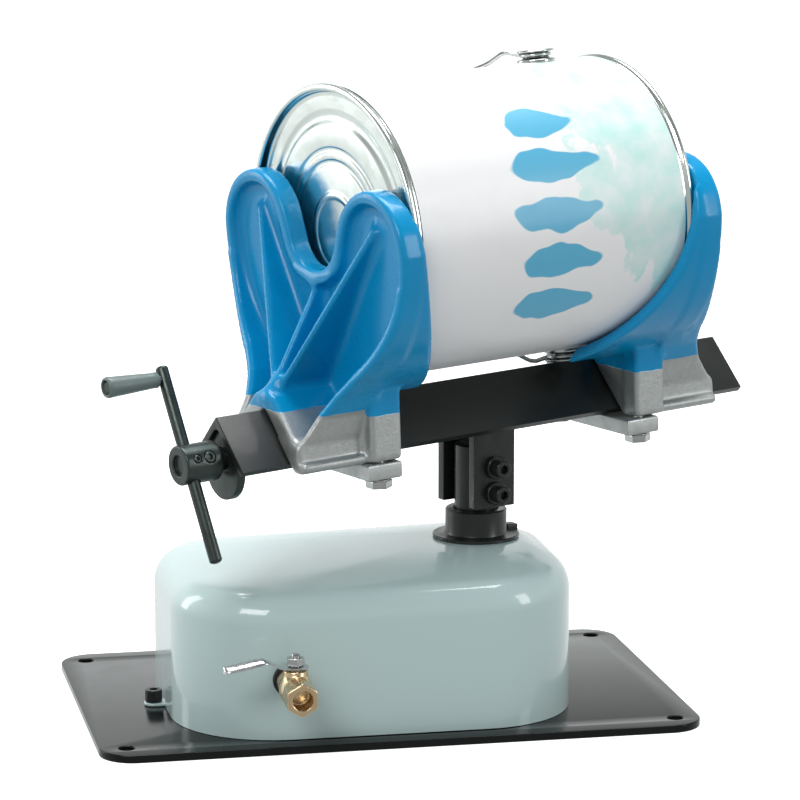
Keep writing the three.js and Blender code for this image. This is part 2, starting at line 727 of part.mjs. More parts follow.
const canLength = CAN.u1 - CAN.u0;
put(
  "can_body",
  turned([
    [0, 4.5], [30, 4.5], [32, 3.6], [58, 3.6], [60, 4.8], [79.5, 4.8], [80.2, 0.2],
    [CAN.chimeR, 0.2], [CAN.chimeR, 3], [CAN.bodyR, 4.2],
    [CAN.bodyR, canLength - 4.2], [CAN.chimeR, canLength - 3], [CAN.chimeR, canLength - 0.2],
    [80.6, canLength - 0.2], [80.2, canLength - 3], [71.2, canLength - 3],
    [71.2, canLength - 1.7], [69.6, canLength - 1.7], [69.6, canLength - 4.6],
    [CAN.bodyR - 1.5, canLength - 5.2], [CAN.bodyR - 1.5, 6.4], [0, 6.4],
  ]),
  LOOK.canTin(),
  armGroup,
);
put(
  "can_lid",
  turned([
    [0, canLength - 5.6], [69.2, canLength - 5.6], [69.2, canLength - 1.3],
    [73, canLength - 1.3], [73, canLength - 0.3], [67.6, canLength - 0.3],
    [67.2, canLength - 4.2], [0, canLength - 4.2],
  ]),
  LOOK.canTin(),
  armGroup,
);

// Bail ears: a flanged button with a groove in which the eye of the bail turns.
const EAR = { base: 83, groove0: 84.7, groove1: 88.2, top: 89.8 };
const earSolid = (sign) =>
  join(
    solid(rod([0, 0, sign * EAR.base], [0, 0, sign * EAR.groove0], 11, 11, 24)),
    solid(rod([0, 0, sign * EAR.base], [0, 0, sign * EAR.top], 3, 3, 16)),
    solid(rod([0, 0, sign * EAR.groove1], [0, 0, sign * EAR.top], 11, 10, 24)),
  );
const canMiddle = new THREE.Group();
canMiddle.position.set(CAN.earU, 0, CAN.axisW);
canMiddle.rotation.x = -CAN_ROLL;
armGroup.add(canMiddle);
put("can_ear_upper", earSolid(1), LOOK.brightSteel(), canMiddle);
put("can_ear_lower", earSolid(-1), LOOK.brightSteel(), canMiddle);

// Bail: a half ellipse of wire behind the can, swung towards the can's bottom end.
class BailCurve extends THREE.Curve {
  getPoint(t, target = new THREE.Vector3()) {
    const a = THREE.MathUtils.lerp(0.045, Math.PI - 0.045, t);
    return target.set(0, 112 * Math.sin(a), 86.7 * Math.cos(a));
  }
}
const wire = new THREE.ExtrudeGeometry(
  new THREE.Shape(vectors(circle(1.3, 8))),
  { steps: 44, extrudePath: new BailCurve(), bevelEnabled: false },
);
const eye = (sign) =>
  solid(
    alongZ(circle(5.6, 20), sign * 86.7 - 1.2, sign * 86.7 + 1.2, [circle(3.4, 16)]),
  );
const bail = put("bail", join(solid(wire), eye(1), eye(-1)), LOOK.brightSteel(), canMiddle);
bail.rotation.z = BAIL_SWING;

// ---------------------------------------------------------------- air valve
put(
  "valve_gasket",
  alongY(circle(9, 24, VALVE.x, VALVE.z), HOUSING.y0 - 4.3, HOUSING.y0 - GAP, [
    circle(6.8, 24, VALVE.x, VALVE.z),
  ]),
  LOOK.rubber(),
);
const hexEnd = shift(hexagon(16), VALVE.x, VALVE.z);
put(
  "valve_body",
  cut(
    join(
      solid(alongY(circle(6.4, 24, VALVE.x, VALVE.z), HOUSING.y0 - 6, -84)),
      solid(alongY(circle(7.7, 24, VALVE.x, VALVE.z), -132, HOUSING.y0 - 4.6)),
      solid(alongY(hexEnd, VALVE.frontY, -131)),
      solid(rod([VALVE.x, VALVE.stemY, VALVE.z], [VALVE.x, VALVE.stemY, 51], 7.2, 6.6, 24)),
    ),
    solid(alongY(circle(4.8, 20, VALVE.x, VALVE.z), -150, -80)),
    solid(alongY(circle(5.8, 24, VALVE.x, VALVE.z), -150, -132)),
    solid(rod([VALVE.x, VALVE.stemY, VALVE.z], [VALVE.x, VALVE.stemY, 60], 2.8)),
  ),
  LOOK.brass(),
);
put(
  "valve_stem",
  cut(
    join(
      solid(ball(VALVE.x, VALVE.stemY, VALVE.z, 4.4, 16)),
      solid(rod([VALVE.x, VALVE.stemY, VALVE.z], [VALVE.x, VALVE.stemY, 60], 2.4)),
    ),
    solid(rod([VALVE.x - 9, VALVE.stemY, VALVE.z], [VALVE.x + 9, VALVE.stemY, VALVE.z], 2.6)),
  ),
  LOOK.brightSteel(),
);
const leverSide = [
  [7, 51.5], [7, 53.5], [-8, 53.5], [-18, 58.6], [-38, 55], [-40, 54], [-38, 52.8], [-18.5, 56.4],
  [-8.5, 51.5],
];
put(
  "valve_lever",
  cut(
    solid(alongY(shift(leverSide, VALVE.x, 0), VALVE.stemY - 5.5, VALVE.stemY + 5.5)),
    solid(rod([VALVE.x, VALVE.stemY, 40], [VALVE.x, VALVE.stemY, 70], 2.8)),
  ),
  LOOK.brightSteel(),
);
put(
  "valve_nut",
  alongZ(hexagon(9), 53.8, 58.2, [circle(2.8, 16)]).translate(VALVE.x, VALVE.stemY, 0),
  LOOK.brightSteel(),
);

export default shaker;
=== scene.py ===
# The looks of the air-driven paint can shaker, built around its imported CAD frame.
# Sizes are in millimetres in each part's own frame and turned into metres when a mesh is made.
from math import atan2, cos, exp, hypot, pi, radians, sin, sqrt

import bmesh
import bpy
import numpy as np
from mathutils import Matrix, Vector


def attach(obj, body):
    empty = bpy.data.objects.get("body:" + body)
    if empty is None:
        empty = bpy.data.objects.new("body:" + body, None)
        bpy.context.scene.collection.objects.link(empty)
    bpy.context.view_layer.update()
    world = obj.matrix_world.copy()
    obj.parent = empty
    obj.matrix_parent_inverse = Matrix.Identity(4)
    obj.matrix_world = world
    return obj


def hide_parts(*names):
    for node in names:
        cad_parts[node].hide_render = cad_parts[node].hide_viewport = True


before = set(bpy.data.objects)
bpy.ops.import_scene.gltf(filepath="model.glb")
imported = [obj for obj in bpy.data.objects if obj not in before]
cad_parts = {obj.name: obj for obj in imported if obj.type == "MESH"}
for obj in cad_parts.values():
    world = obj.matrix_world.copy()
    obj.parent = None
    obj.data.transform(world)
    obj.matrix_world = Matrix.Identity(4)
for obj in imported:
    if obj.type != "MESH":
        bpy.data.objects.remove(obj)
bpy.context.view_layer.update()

MM = 0.001

# --- driving dimensions
PLATE = dict(length=342, depth=224, thick=4.5, corner=20, hole_x=156, hole_y=96, hole_r=4.5)
HOUSING = dict(x0=-123.5, x1=106, y0=-98.5, y1=68, top=96, wall=3, fillet=18, crown=10, seat=27)
HOUSING_CORNERS = (60, 58, 60, 46)  # front left, front right, back right, back left
HOUSING_HOLE_R = 18.4
GAP = 0.3  # clearance between neighbouring pieces
FLOOR_Z = PLATE["thick"] + GAP
TABS = {"left": (-123.5, -10, 180), "back_left": (-60, 68, 90), "back_right": (30, 68, 90)}
TAB_REACH, TAB_THICK = 5.8, 1.6

SPINDLE_X, SPINDLE_Y, SPINDLE_R, SPINDLE_TOP = 58.75, -13, 12.5, 151.3
ARM_TURN, ARM_TILT, RIDGE_Z = radians(22.2), radians(2), 190.7
RAIL = dict(u0=-174, u1=172, leg=38.1, thick=4)
CAN = dict(u0=-95.5, u1=94.5, axis=91.7, body=82.6, chime=84, ear_u=54)
CAN_ROLL, BAIL_SWING = radians(7), radians(35)
SCREW = dict(w=-24, r=6, u0=-187.2, u1=-66, pitch=4)
CRANK = dict(u=-192.3, reach=53.6, lean=radians(27), r=3.6, grip_end=-229.5)
VALVE = dict(x=-66, z=39.5, stem_y=-122, front_y=-145)
KEEPER = {"left": dict(x0=-13, x1=9, bolt=-2), "right": dict(x0=-20.5, x1=1.5, bolt=-8.5)}
LIP_EDGE = {"left": (170, -172, 106.7), "right": (140, -142, 116.7)}

# --- frames
def move(x, y, z):
    return Matrix.Translation((x * MM, y * MM, z * MM))


def turn(angle, axis):
    return Matrix.Rotation(angle, 4, axis)


HERE = Matrix.Identity(4)
SPINDLE_FRAME = move(SPINDLE_X, SPINDLE_Y, 0) @ turn(ARM_TURN, "Z")
ARM = move(SPINDLE_X, SPINDLE_Y, RIDGE_Z) @ turn(ARM_TURN, "Z") @ turn(-ARM_TILT, "Y")
JAW = {
    "left": ARM @ move(CAN["u0"], 0, 0) @ turn(pi, "Z"),
    "right": ARM @ move(CAN["u1"], 0, 0),
}
ALONG_U = turn(pi / 2, "Y")  # carries a lathe's axis onto the arm's length
SCREW_AXIS = ARM @ move(0, 0, SCREW["w"]) @ ALONG_U
CAN_AXIS = ARM @ move(CAN["u0"], 0, CAN["axis"]) @ ALONG_U
LABEL_FRAME = CAN_AXIS @ turn(pi / 2 + CAN_ROLL, "Z")
CAN_MIDDLE = ARM @ move(CAN["ear_u"], 0, CAN["axis"]) @ turn(-CAN_ROLL, "X")

# --- outlines
def circle(r, count=64, cx=0.0, cy=0.0):
    angles = [2 * pi * (i + 0.5) / count for i in range(count)]
    return [(cx + r * cos(a), cy + r * sin(a)) for a in angles]


def arc(cx, cy, r, start, end, steps):
    angles = [radians(start + (end - start) * i / steps) for i in range(steps + 1)]
    return [(cx + r * cos(a), cy + r * sin(a)) for a in angles]


def hexagon(across_flats, cx=0.0, cy=0.0):
    return circle(across_flats / sqrt(3), 6, cx, cy)


def smooth(points, count):
    """A Catmull-Rom curve through the points."""
    ends = [points[0], *points, points[-1]]
    made = []
    for i in range(count + 1):
        place = (len(points) - 1) * i / count
        k = min(int(place), len(points) - 2)
        t = place - k
        p = [np.array(q, float) for q in ends[k : k + 4]]
        bend = (2 * p[0] - 5 * p[1] + 4 * p[2] - p[3]) * t * t
        twist = (3 * p[1] - p[0] - 3 * p[2] + p[3]) * t**3
        made.append(tuple(0.5 * (2 * p[1] + (p[2] - p[0]) * t + bend + twist)))
    return made


def mirrored(half):
    return [*half, *[(-y, z) for y, z in reversed(half) if y > 1e-6]]


def rounded_rectangle(x0, x1, y0, y1, radii, inset=0.0, steps=18):
    fl, fr, br, bl = radii
    return [
        *arc(x0 + fl, y0 + fl, fl - inset, 180, 270, steps),
        *arc(x1 - fr, y0 + fr, fr - inset, 270, 360, steps),
        *arc(x1 - br, y1 - br, br - inset, 0, 90, steps),
        *arc(x0 + bl, y1 - bl, bl - inset, 90, 180, steps),
    ]


# --- meshes
def mesh_of(points, faces):
    mesh = bpy.data.meshes.new("made")
    mesh.from_pydata([tuple(c * MM for c in p) for p in points], [], [tuple(f) for f in faces])
    mesh.update()
    return mesh


def tidy(mesh):
    made = bmesh.new()
    made.from_mesh(mesh)
    bmesh.ops.remove_doubles(made, verts=made.verts, dist=2e-6)
    bmesh.ops.recalc_face_normals(made, faces=made.faces)
    made.to_mesh(mesh)
    made.free()
    return mesh


def lathe(profile, segments=96):
    """A closed or pole-to-pole profile of (radius, height) turned about Z."""
    closed = profile[0][0] > 1e-6
    points, rings = [], []
    for r, z in profile:
        if r < 1e-6:
            rings.append([len(points)] * segments)
            points.append((0, 0, z))
        else:
            rings.append(list(range(len(points), len(points) + segments)))
            points += [
                (r * cos(2 * pi * k / segments), r * sin(2 * pi * k / segments), z)
                for k in range(segments)
            ]
    faces = []
    for i in range(len(rings) if closed else len(rings) - 1):
        a, b = rings[i], rings[(i + 1) % len(rings)]
        for k in range(segments):
            n = (k + 1) % segments
            face = list(dict.fromkeys((a[k], a[n], b[n], b[k])))
            if len(face) > 2:
                faces.append(face)
    return tidy(mesh_of(points, faces))


def placed(name, data):
    """A new object in the scene."""
    made = bpy.data.objects.new(name, data)
    bpy.context.scene.collection.objects.link(made)
    return made


def baked(holder, *tools):
    """The evaluated mesh of an object, which is then thrown away with its tools."""
    bpy.context.view_layer.update()
    mesh = bpy.data.meshes.new_from_object(holder.evaluated_get(bpy.context.evaluated_depsgraph_get()))
    for thing in (holder, *tools):
        bpy.data.objects.remove(thing)
    return mesh


def prism(outline, z0, z1, holes=(), bevel=0.4, steps=2):
    """An outline with holes, extruded along Z, with rounded edges."""
    curve = bpy.data.curves.new("outline", "CURVE")
    curve.dimensions, curve.fill_mode = "2D", "BOTH"
    curve.extrude = ((z1 - z0) / 2 - bevel) * MM
    curve.bevel_depth, curve.bevel_resolution, curve.offset = bevel * MM, steps, -bevel * MM
    for ring in (outline, *holes):
        spline = curve.splines.new("POLY")
        spline.points.add(len(ring) - 1)
        for point, (x, y) in zip(spline.points, ring):
            point.co = (x * MM, y * MM, 0, 1)
        spline.use_cyclic_u = True
    mesh = baked(placed("outline", curve))
    mesh.transform(Matrix.Translation((0, 0, (z0 + z1) / 2 * MM)))
    mesh.materials.clear()
    return tidy(mesh)


def tube(points, r, sides=16):
    """A round wire through the points, closed at its ends."""
    curve = bpy.data.curves.new("wire", "CURVE")
    curve.dimensions, curve.bevel_depth, curve.bevel_resolution = "3D", r * MM, sides // 4
    curve.use_fill_caps = True
    spline = curve.splines.new("POLY")
    spline.points.add(len(points) - 1)
    for point, p in zip(spline.points, points):
        point.co = (*[c * MM for c in p], 1)
    mesh = baked(placed("wire", curve))
    mesh.materials.clear()
    return tidy(mesh)


def moved(mesh, matrix):
    mesh.transform(matrix)
    return mesh


def joined(*meshes):
    made = bmesh.new()
    for mesh in meshes:
        made.from_mesh(mesh)
    whole = bpy.data.meshes.new("joined")
    made.to_mesh(whole)
    made.free()
    return whole


def cut(mesh, *cutters):
    """mesh without the room of the cutters."""
    holder = placed("target", mesh)
    tools = [placed("cutter", cutter) for cutter in cutters]
    for tool in tools:
        modifier = holder.modifiers.new("cut", "BOOLEAN")
        modifier.operation, modifier.object, modifier.solver = "DIFFERENCE", tool, "EXACT"
    return baked(holder, *tools)


# --- castings from distance fields
def outline_distance(points, x, y):
    """Signed distance to a closed outline, negative inside."""
    shape = np.broadcast_shapes(x.shape, y.shape)
    best, outside = np.full(shape, 1e12), np.ones(shape, bool)
    for (ax, ay), (bx, by) in zip(points, [*points[1:], points[0]]):
        ex, ey = bx - ax, by - ay
        length = ex * ex + ey * ey
        if length < 1e-12:
            continue
        t = np.clip(((x - ax) * ex + (y - ay) * ey) / length, 0, 1)
        best = np.minimum(best, (x - ax - ex * t) ** 2 + (y - ay - ey * t) ** 2)
        if abs(ey) > 1e-12:
            outside ^= ((ay > y) != (by > y)) & (x < ax + ex * (y - ay) / ey)
    return np.where(outside, 1, -1) * np.sqrt(best)


def either(a, b, k=0.0):
    """Union with a fillet of about k."""
    if k <= 0:
        return np.minimum(a, b)
    h = np.maximum(k - np.abs(a - b), 0) / k
    return np.minimum(a, b) - h * h * k / 4


def both(a, b, k=0.0):
    """Intersection with an edge rounded by about k."""
    return -either(-a, -b, k)


def slab(x, low, high):
    return np.abs(x - (low + high) / 2) - (high - low) / 2


def block(x, y, z, low, high, k=1.5):
    return both(both(slab(x, low[0], high[0]), slab(y, low[1], high[1]), k), slab(z, low[2], high[2]), k)


def surface_net(field, low, step):
    """The zero level of a sampled field as a smooth quad mesh."""
    inside = field < 0
    size = np.array(field.shape) - 1
    total, count, crossings = np.zeros((*size, 3)), np.zeros(size), []
    for axis in range(3):
        first, second = [slice(None)] * 3, [slice(None)] * 3
        first[axis], second[axis] = slice(None, -1), slice(1, None)
        f0, f1 = field[tuple(first)], field[tuple(second)]
        cross = inside[tuple(first)] != inside[tuple(second)]
        t = np.where(cross, f0 / np.where(cross, f0 - f1, 1), 0)
        crossings.append(cross)
        p_axis, q_axis = [k for k in range(3) if k != axis]
        for p in (0, 1):
            for q in (0, 1):
                pick = [slice(None)] * 3
                pick[p_axis], pick[q_axis] = slice(p, size[p_axis] + p), slice(q, size[q_axis] + q)
                here = cross[tuple(pick)]
                count += here
                total[..., axis] += t[tuple(pick)] * here
                total[..., p_axis] += p * here
                total[..., q_axis] += q * here
    active = count > 0
    index = np.full(size, -1)
    index[active] = np.arange(active.sum())
    points = low + step * (np.argwhere(active) + total[active] / count[active][:, None])
    faces = []
    for axis in range(3):
        p_axis, q_axis = (axis + 1) % 3, (axis + 2) % 3
        e = np.argwhere(crossings[axis])
        for side in (p_axis, q_axis):
            e = e[(e[:, side] > 0) & (e[:, side] < size[side])]
        dp, dq = np.eye(3, dtype=int)[p_axis], np.eye(3, dtype=int)[q_axis]
        quad = np.stack([index[tuple(c.T)] for c in (e - dp - dq, e - dq, e, e - dp)], 1)
        outward = inside[tuple(e.T)]
        faces.append(np.where(outward[:, None], quad, quad[:, ::-1]))
    return points, np.concatenate(faces)


def cast(distance, low, high, step):
    """A mesh of the solid whose distance function is given, over a box in millimetres."""
    axes = [np.arange(low[k] - 2 * step, high[k] + 3 * step, step) for k in range(3)]
    x, y, z = np.meshgrid(*axes, indexing="ij", sparse=True)
    field = distance(x, y, z)
    points, faces = surface_net(field, np.array([a[0] for a in axes]), step)
    mesh = bpy.data.meshes.new("cast")
    mesh.from_pydata((points * MM).tolist(), [], faces.tolist())
    mesh.update()
    return mesh


# --- procedural looks
class Look:
    """One node-built material. Its patterns are laid out in metres, in the given frame if there is one."""

    def __init__(
        self, name, color, roughness, metallic=0.0, coat=0.0, coat_roughness=0.05, gleam=0.5, within=None
    ):
        self.material = bpy.data.materials.new(name)
        self.material.use_nodes = True
        self.material.diffuse_color = (*color, 1)
        self.tree = self.material.node_tree
        self.shader = self.tree.nodes["Principled BSDF"]
        self.place = self.tree.nodes.new("ShaderNodeTexCoord").outputs["Object"]
        sockets = {
            "Base Color": (*color, 1),
            "Roughness": roughness,
            "Metallic": metallic,
            "Coat Weight": coat,
            "Coat Roughness": coat_roughness,
            "Specular IOR Level": gleam,
        }
        for socket, value in sockets.items():
            self.shader.inputs[socket].default_value = value
        if within is not None:
            back = within.inverted()
            inputs = {"Vector": self.place, "Location": back.to_translation(), "Rotation": back.to_euler()}
            self.place = self.node("ShaderNodeMapping", inputs).outputs[0]

    def node(self, kind, inputs=None, **settings):
        made = self.tree.nodes.new(kind)
        for key, value in settings.items():
            setattr(made, key, value)
        for key, value in (inputs or {}).items():
            if isinstance(value, bpy.types.NodeSocket):
                self.tree.links.new(value, made.inputs[key])
            else:
                made.inputs[key].default_value = value
        return made

    def stretched(self, scale):
        return self.node("ShaderNodeMapping", {"Vector": self.place, "Scale": scale}).outputs[0]

    def noise(self, scale, detail=3.0, rough=0.5, place=None):
        inputs = {"Vector": place or self.place, "Scale": scale, "Detail": detail, "Roughness": rough}
        return self.node("ShaderNodeTexNoise", inputs).outputs["Fac"]

    def math(self, operation, a, b=0.0, c=0.0):
        return self.node("ShaderNodeMath", {0: a, 1: b, 2: c}, operation=operation).outputs[0]

    def spread(self, value, from_low, from_high, low, high):
        inputs = {"Value": value, "From Min": from_low, "From Max": from_high, "To Min": low, "To Max": high}
        return self.node("ShaderNodeMapRange", inputs).outputs["Result"]

    def blend(self, factor, a, b):
        made = self.node("ShaderNodeMix", data_type="RGBA")
        for socket, value in ((made.inputs[0], factor), (made.inputs[6], a), (made.inputs[7], b)):
            if isinstance(value, bpy.types.NodeSocket):
                self.tree.links.new(value, socket)
            elif isinstance(value, (int, float)):
                socket.default_value = value
            else:
                socket.default_value = (*value, 1)
        return made.outputs[2]

    def set(self, socket, value):
        self.tree.links.new(value, self.shader.inputs[socket])
        return self

    def color(self, factor, a, b):
        return self.set("Base Color", self.blend(factor, a, b))

    def rough(self, factor, low, high):
        return self.set("Roughness", self.spread(factor, 0.3, 0.7, low, high))

    def bump(self, height, distance, strength=1.0):
        made = self.node("ShaderNodeBump", {"Height": height, "Distance": distance, "Strength": strength})
        return self.set("Normal", made.outputs[0])

    def speckles(self, scale, share):
        """1 inside small scattered grains."""
        grains = self.node("ShaderNodeTexVoronoi", {"Vector": self.place, "Scale": scale}).outputs["Distance"]
        return self.spread(grains, share, share * 0.5, 0.0, 1.0)


def plain(name, color, roughness, tint, wear, grain, **more):
    """A surface whose tint, roughness and height vary with noise.

    Each of the three is a noise's scale and detail, its roughness where it matters, and then two ends,
    or a depth and a strength.
    """
    look = Look(name, color, roughness, **more)
    if tint:
        *noise, low, high = tint
        look.color(look.noise(*noise), low, high)
    *noise, low, high = wear
    look.rough(look.noise(*noise), low, high)
    *noise, depth, strength = grain
    return look.bump(look.noise(*noise), depth, strength)


def jaw_paint(side):
    """Blue enamel down to a masked line, and bare sand-cast aluminium below it."""
    gloss = dict(coat=0.12, coat_roughness=0.06, gleam=0.3)
    look = Look(f"jaw_enamel_{side}", (0.0, 0.28, 0.58), 0.26, within=JAW[side], **gloss)
    split = look.node("ShaderNodeSeparateXYZ", {"Vector": look.place})
    lower_on_boss = look.spread(split.outputs["X"], 0.0068, 0.0082, 0.0038, 0.0)
    height = look.math("ADD", split.outputs["Z"], lower_on_boss)
    edge = look.math("MULTIPLY_ADD", look.noise(160, 4), 0.0016, height)
    bare = look.spread(edge, 0.0014, 0.0009, 0.0, 1.0)
    blue = look.blend(look.noise(28, 4), (0.0, 0.245, 0.50), (0.0, 0.31, 0.64))
    metal = look.blend(look.noise(320, 5, 0.7), (0.34, 0.36, 0.355), (0.56, 0.585, 0.575))
    look.set("Base Color", look.blend(bare, blue, metal))
    look.set("Metallic", look.math("MULTIPLY", bare, 0.85))
    look.set("Coat Weight", look.spread(bare, 0.0, 1.0, 0.12, 0.0))
    painted = look.spread(look.noise(60, 5), 0.3, 0.7, 0.2, 0.33)
    look.set("Roughness", look.math("MULTIPLY_ADD", bare, 0.2, painted))
    grain = look.math("MULTIPLY", look.noise(700, 3), look.spread(bare, 0.0, 1.0, 0.12, 1.0))
    return look.bump(grain, 0.00025, 0.8)


def mill_scale():
    """Hot-rolled angle under thin black paint, with faint marks along its length."""
    look = Look("black_rolled_steel", (0.012, 0.014, 0.013), 0.36, coat=0.1, within=ARM)
    along = look.stretched((0.06, 1, 1))
    look.color(look.noise(140, 6, 0.7, along), (0.006, 0.0075, 0.007), (0.017, 0.020, 0.019))
    look.rough(look.noise(35, 6, 0.75), 0.25, 0.45)
    return look.bump(look.noise(500, 4, 0.6), 0.00006, 0.6)


def turned_aluminium():
    look = Look("turned_aluminium", (0.58, 0.60, 0.60), 0.3, metallic=1.0)
    look.color(look.noise(80, 4), (0.5, 0.52, 0.52), (0.64, 0.66, 0.66))
    look.rough(look.noise(400, 4, 0.6, look.stretched((8, 1, 1))), 0.22, 0.4)
    return look.bump(look.noise(700, 2, 0.5, look.stretched((6, 1, 1))), 0.00003, 0.5)


def bronze():
    look = Look("sintered_bronze", (0.50, 0.33, 0.15), 0.42, metallic=1.0)
    look.color(look.noise(150, 5), (0.40, 0.25, 0.11), (0.58, 0.40, 0.20))
    look.rough(look.noise(500, 4), 0.32, 0.52)
    return look.bump(look.speckles(900, 0.35), 0.00006, 0.5)


def label_paper():
    """White printed paper: pale blue paint drops in a column and a mint wash at the lid end."""
    gloss = dict(coat=0.15, coat_roughness=0.2)
    look = Look("printed_label", (0.86, 0.86, 0.87), 0.34, within=LABEL_FRAME, **gloss)
    split = look.node("ShaderNodeSeparateXYZ", {"Vector": look.place})
    x, y, t = (split.outputs[k] for k in "XYZ")
    angle = look.math("ARCTAN2", look.math("MULTIPLY", y, -1.0), look.math("MULTIPLY", x, -1.0))
    around = look.math("MULTIPLY", angle, CAN["body"] * MM)
    flat = look.node("ShaderNodeCombineXYZ", {"X": t, "Y": around}).outputs[0]

    # A column of five printed paint drops, each lying along the can, with wavering outlines.
    step, first_edge, count = 0.0268, 0.0880, 5
    middle_t, reach_t = 0.0985, 0.0285
    row = look.math("DIVIDE", look.math("ADD", around, first_edge), step)
    aside = look.math("MULTIPLY_ADD", look.math("FRACT", row), step, -step / 2)
    ahead = look.math("DIVIDE", look.math("SUBTRACT", t, middle_t), reach_t)
    width = look.spread(ahead, -1.0, 1.0, 0.0118, 0.0072)
    aside = look.math("DIVIDE", aside, width)
    squares = [look.math("MULTIPLY", way, way) for way in (ahead, aside)]
    far = look.math("SQRT", look.math("ADD", *squares))
    waver = look.spread(look.noise(48, 1, 0.4, flat), 0.25, 0.75, -0.24, 0.24)
    drop = look.spread(look.math("ADD", far, waver), 0.99, 0.93, 0.0, 1.0)
    from_middle = look.math("ABSOLUTE", look.math("SUBTRACT", row, count / 2))
    in_column = look.spread(from_middle, count / 2, count / 2 - 0.01, 0.0, 1.0)
    drops = look.math("MULTIPLY", drop, in_column)

    # Wash: cloudy, with a torn edge and drips that run down from the lid end.
    drawn_out = look.node("ShaderNodeMapping", {"Vector": flat, "Scale": (120, 9, 1)}).outputs[0]
    drips = look.noise(1.0, 2, 0.5, drawn_out)
    drips_share = 0.45
    clouds = look.math("SUBTRACT", look.noise(24, 6, 0.62, flat), drips_share / 2)
    cloud = look.math("MULTIPLY_ADD", drips, drips_share, clouds)
    from_lid = look.spread(t, 0.108, 0.170, -0.26, 0.30)
    height = look.spread(around, -0.02, 0.036, 0.05, -0.42)
    behind = look.spread(around, -0.165, -0.115, -0.62, 0.0)
    reach = look.math("ADD", look.math("ADD", cloud, from_lid), look.math("ADD", height, behind))
    toward_bottom = look.spread(t, 0.080, 0.112, -0.5, 0.0)
    wash = look.spread(look.math("ADD", reach, toward_bottom), 0.40, 0.43, 0.0, 1.0)
    tone = look.spread(look.noise(60, 4, 0.6, flat), 0.35, 0.65, 0.35, 0.9)
    paper = look.blend(look.noise(40, 3, 0.5, flat), (0.84, 0.845, 0.86), (0.89, 0.89, 0.89))
    washed = look.blend(look.math("MULTIPLY", wash, tone), paper, (0.50, 0.79, 0.745))
    look.set("Base Color", look.blend(drops, washed, (0.10, 0.44, 0.66)))
    look.rough(look.noise(120, 3), 0.28, 0.4)
    return look.bump(look.noise(1500, 2), 0.00002, 0.5)


LOOKS = {
    "plate_black": plain(
        "gloss_black_enamel", (0.006, 0.007, 0.007), 0.14,
        (9, 5, (0.004, 0.005, 0.005), (0.009, 0.011, 0.011)),
        (30, 6, 0.7, 0.10, 0.20), (420, 2, 0.00003, 0.5),
        gleam=0.22,
    ),
    "housing_grey": plain(
        "housing_enamel", (0.52, 0.67, 0.66), 0.2,
        (7, 4, (0.505, 0.655, 0.645), (0.535, 0.685, 0.675)),
        (45, 5, 0.17, 0.26), (260, 2, 0.00002, 0.4),
        coat=0.8, coat_roughness=0.03, gleam=0.3,
    ),
    "jaw_blue_left": jaw_paint("left"),
    "jaw_blue_right": jaw_paint("right"),
    "black_steel": plain(
        "satin_black_steel", (0.010, 0.012, 0.011), 0.3,
        (60, 5, (0.006, 0.0075, 0.007), (0.016, 0.018, 0.017)),
        (120, 6, 0.7, 0.22, 0.4), (900, 3, 0.00005, 0.6),
    ),
    "rail": mill_scale(),
    "dark_steel": plain(
        "blackened_steel", (0.055, 0.07, 0.066), 0.34,
        (90, 5, (0.036, 0.047, 0.044), (0.080, 0.098, 0.092)),
        (260, 5, 0.7, 0.24, 0.44), (900, 2, 0.00003, 0.5),
        metallic=0.8,
    ),
    "bright_steel": plain(
        "bright_plated_steel", (0.52, 0.54, 0.53), 0.24,
        (120, 4, (0.45, 0.47, 0.47), (0.60, 0.61, 0.59)),
        (300, 5, 0.12, 0.3), (1100, 2, 0.00002, 0.4),
        metallic=1.0,
    ),
    "lever": plain(
        "chromed_lever", (0.62, 0.64, 0.65), 0.24, None, (200, 4, 0.18, 0.32), (130, 2, 0.00004, 0.4),
        metallic=1.0,
    ),
    "aluminium": plain(
        "cast_aluminium", (0.50, 0.52, 0.515), 0.42,
        (260, 5, 0.7, (0.38, 0.40, 0.395), (0.60, 0.625, 0.615)),
        (90, 5, 0.34, 0.55), (800, 4, 0.6, 0.00016, 0.8),
        metallic=0.9,
    ),
    "turned": turned_aluminium(),
    "cast_iron": plain(
        "cast_iron", (0.11, 0.115, 0.115), 0.6,
        (180, 6, 0.7, (0.07, 0.075, 0.075), (0.16, 0.165, 0.16)),
        (60, 5, 0.5, 0.75), (600, 5, 0.6, 0.0002, 0.8),
        metallic=0.5,
    ),
    "bronze": bronze(),
    "brass": plain(
        "forged_brass", (0.74, 0.56, 0.33), 0.24,
        (110, 5, 0.6, (0.62, 0.42, 0.23), (0.83, 0.68, 0.45)),
        (240, 5, 0.16, 0.36), (900, 3, 0.00005, 0.6),
        metallic=1.0,
    ),
    "rubber": plain(
        "black_rubber", (0.014, 0.014, 0.015), 0.7, None, (300, 4, 0.6, 0.8), (1200, 3, 0.00006, 0.7),
    ),
    "grip_grey": plain(
        "grip_plastic", (0.13, 0.175, 0.165), 0.42,
        (70, 4, (0.115, 0.158, 0.148), (0.155, 0.20, 0.19)),
        (220, 5, 0.34, 0.5), (1300, 3, 0.00005, 0.7),
    ),
    "can_tin": plain(
        "tinplate", (0.74, 0.80, 0.775), 0.2,
        (26, 5, 0.6, (0.67, 0.74, 0.71), (0.82, 0.86, 0.82)),
        (90, 6, 0.7, 0.13, 0.27), (60, 3, 0.00005, 0.5),
        metallic=1.0,
    ),
    "label": label_paper(),
}


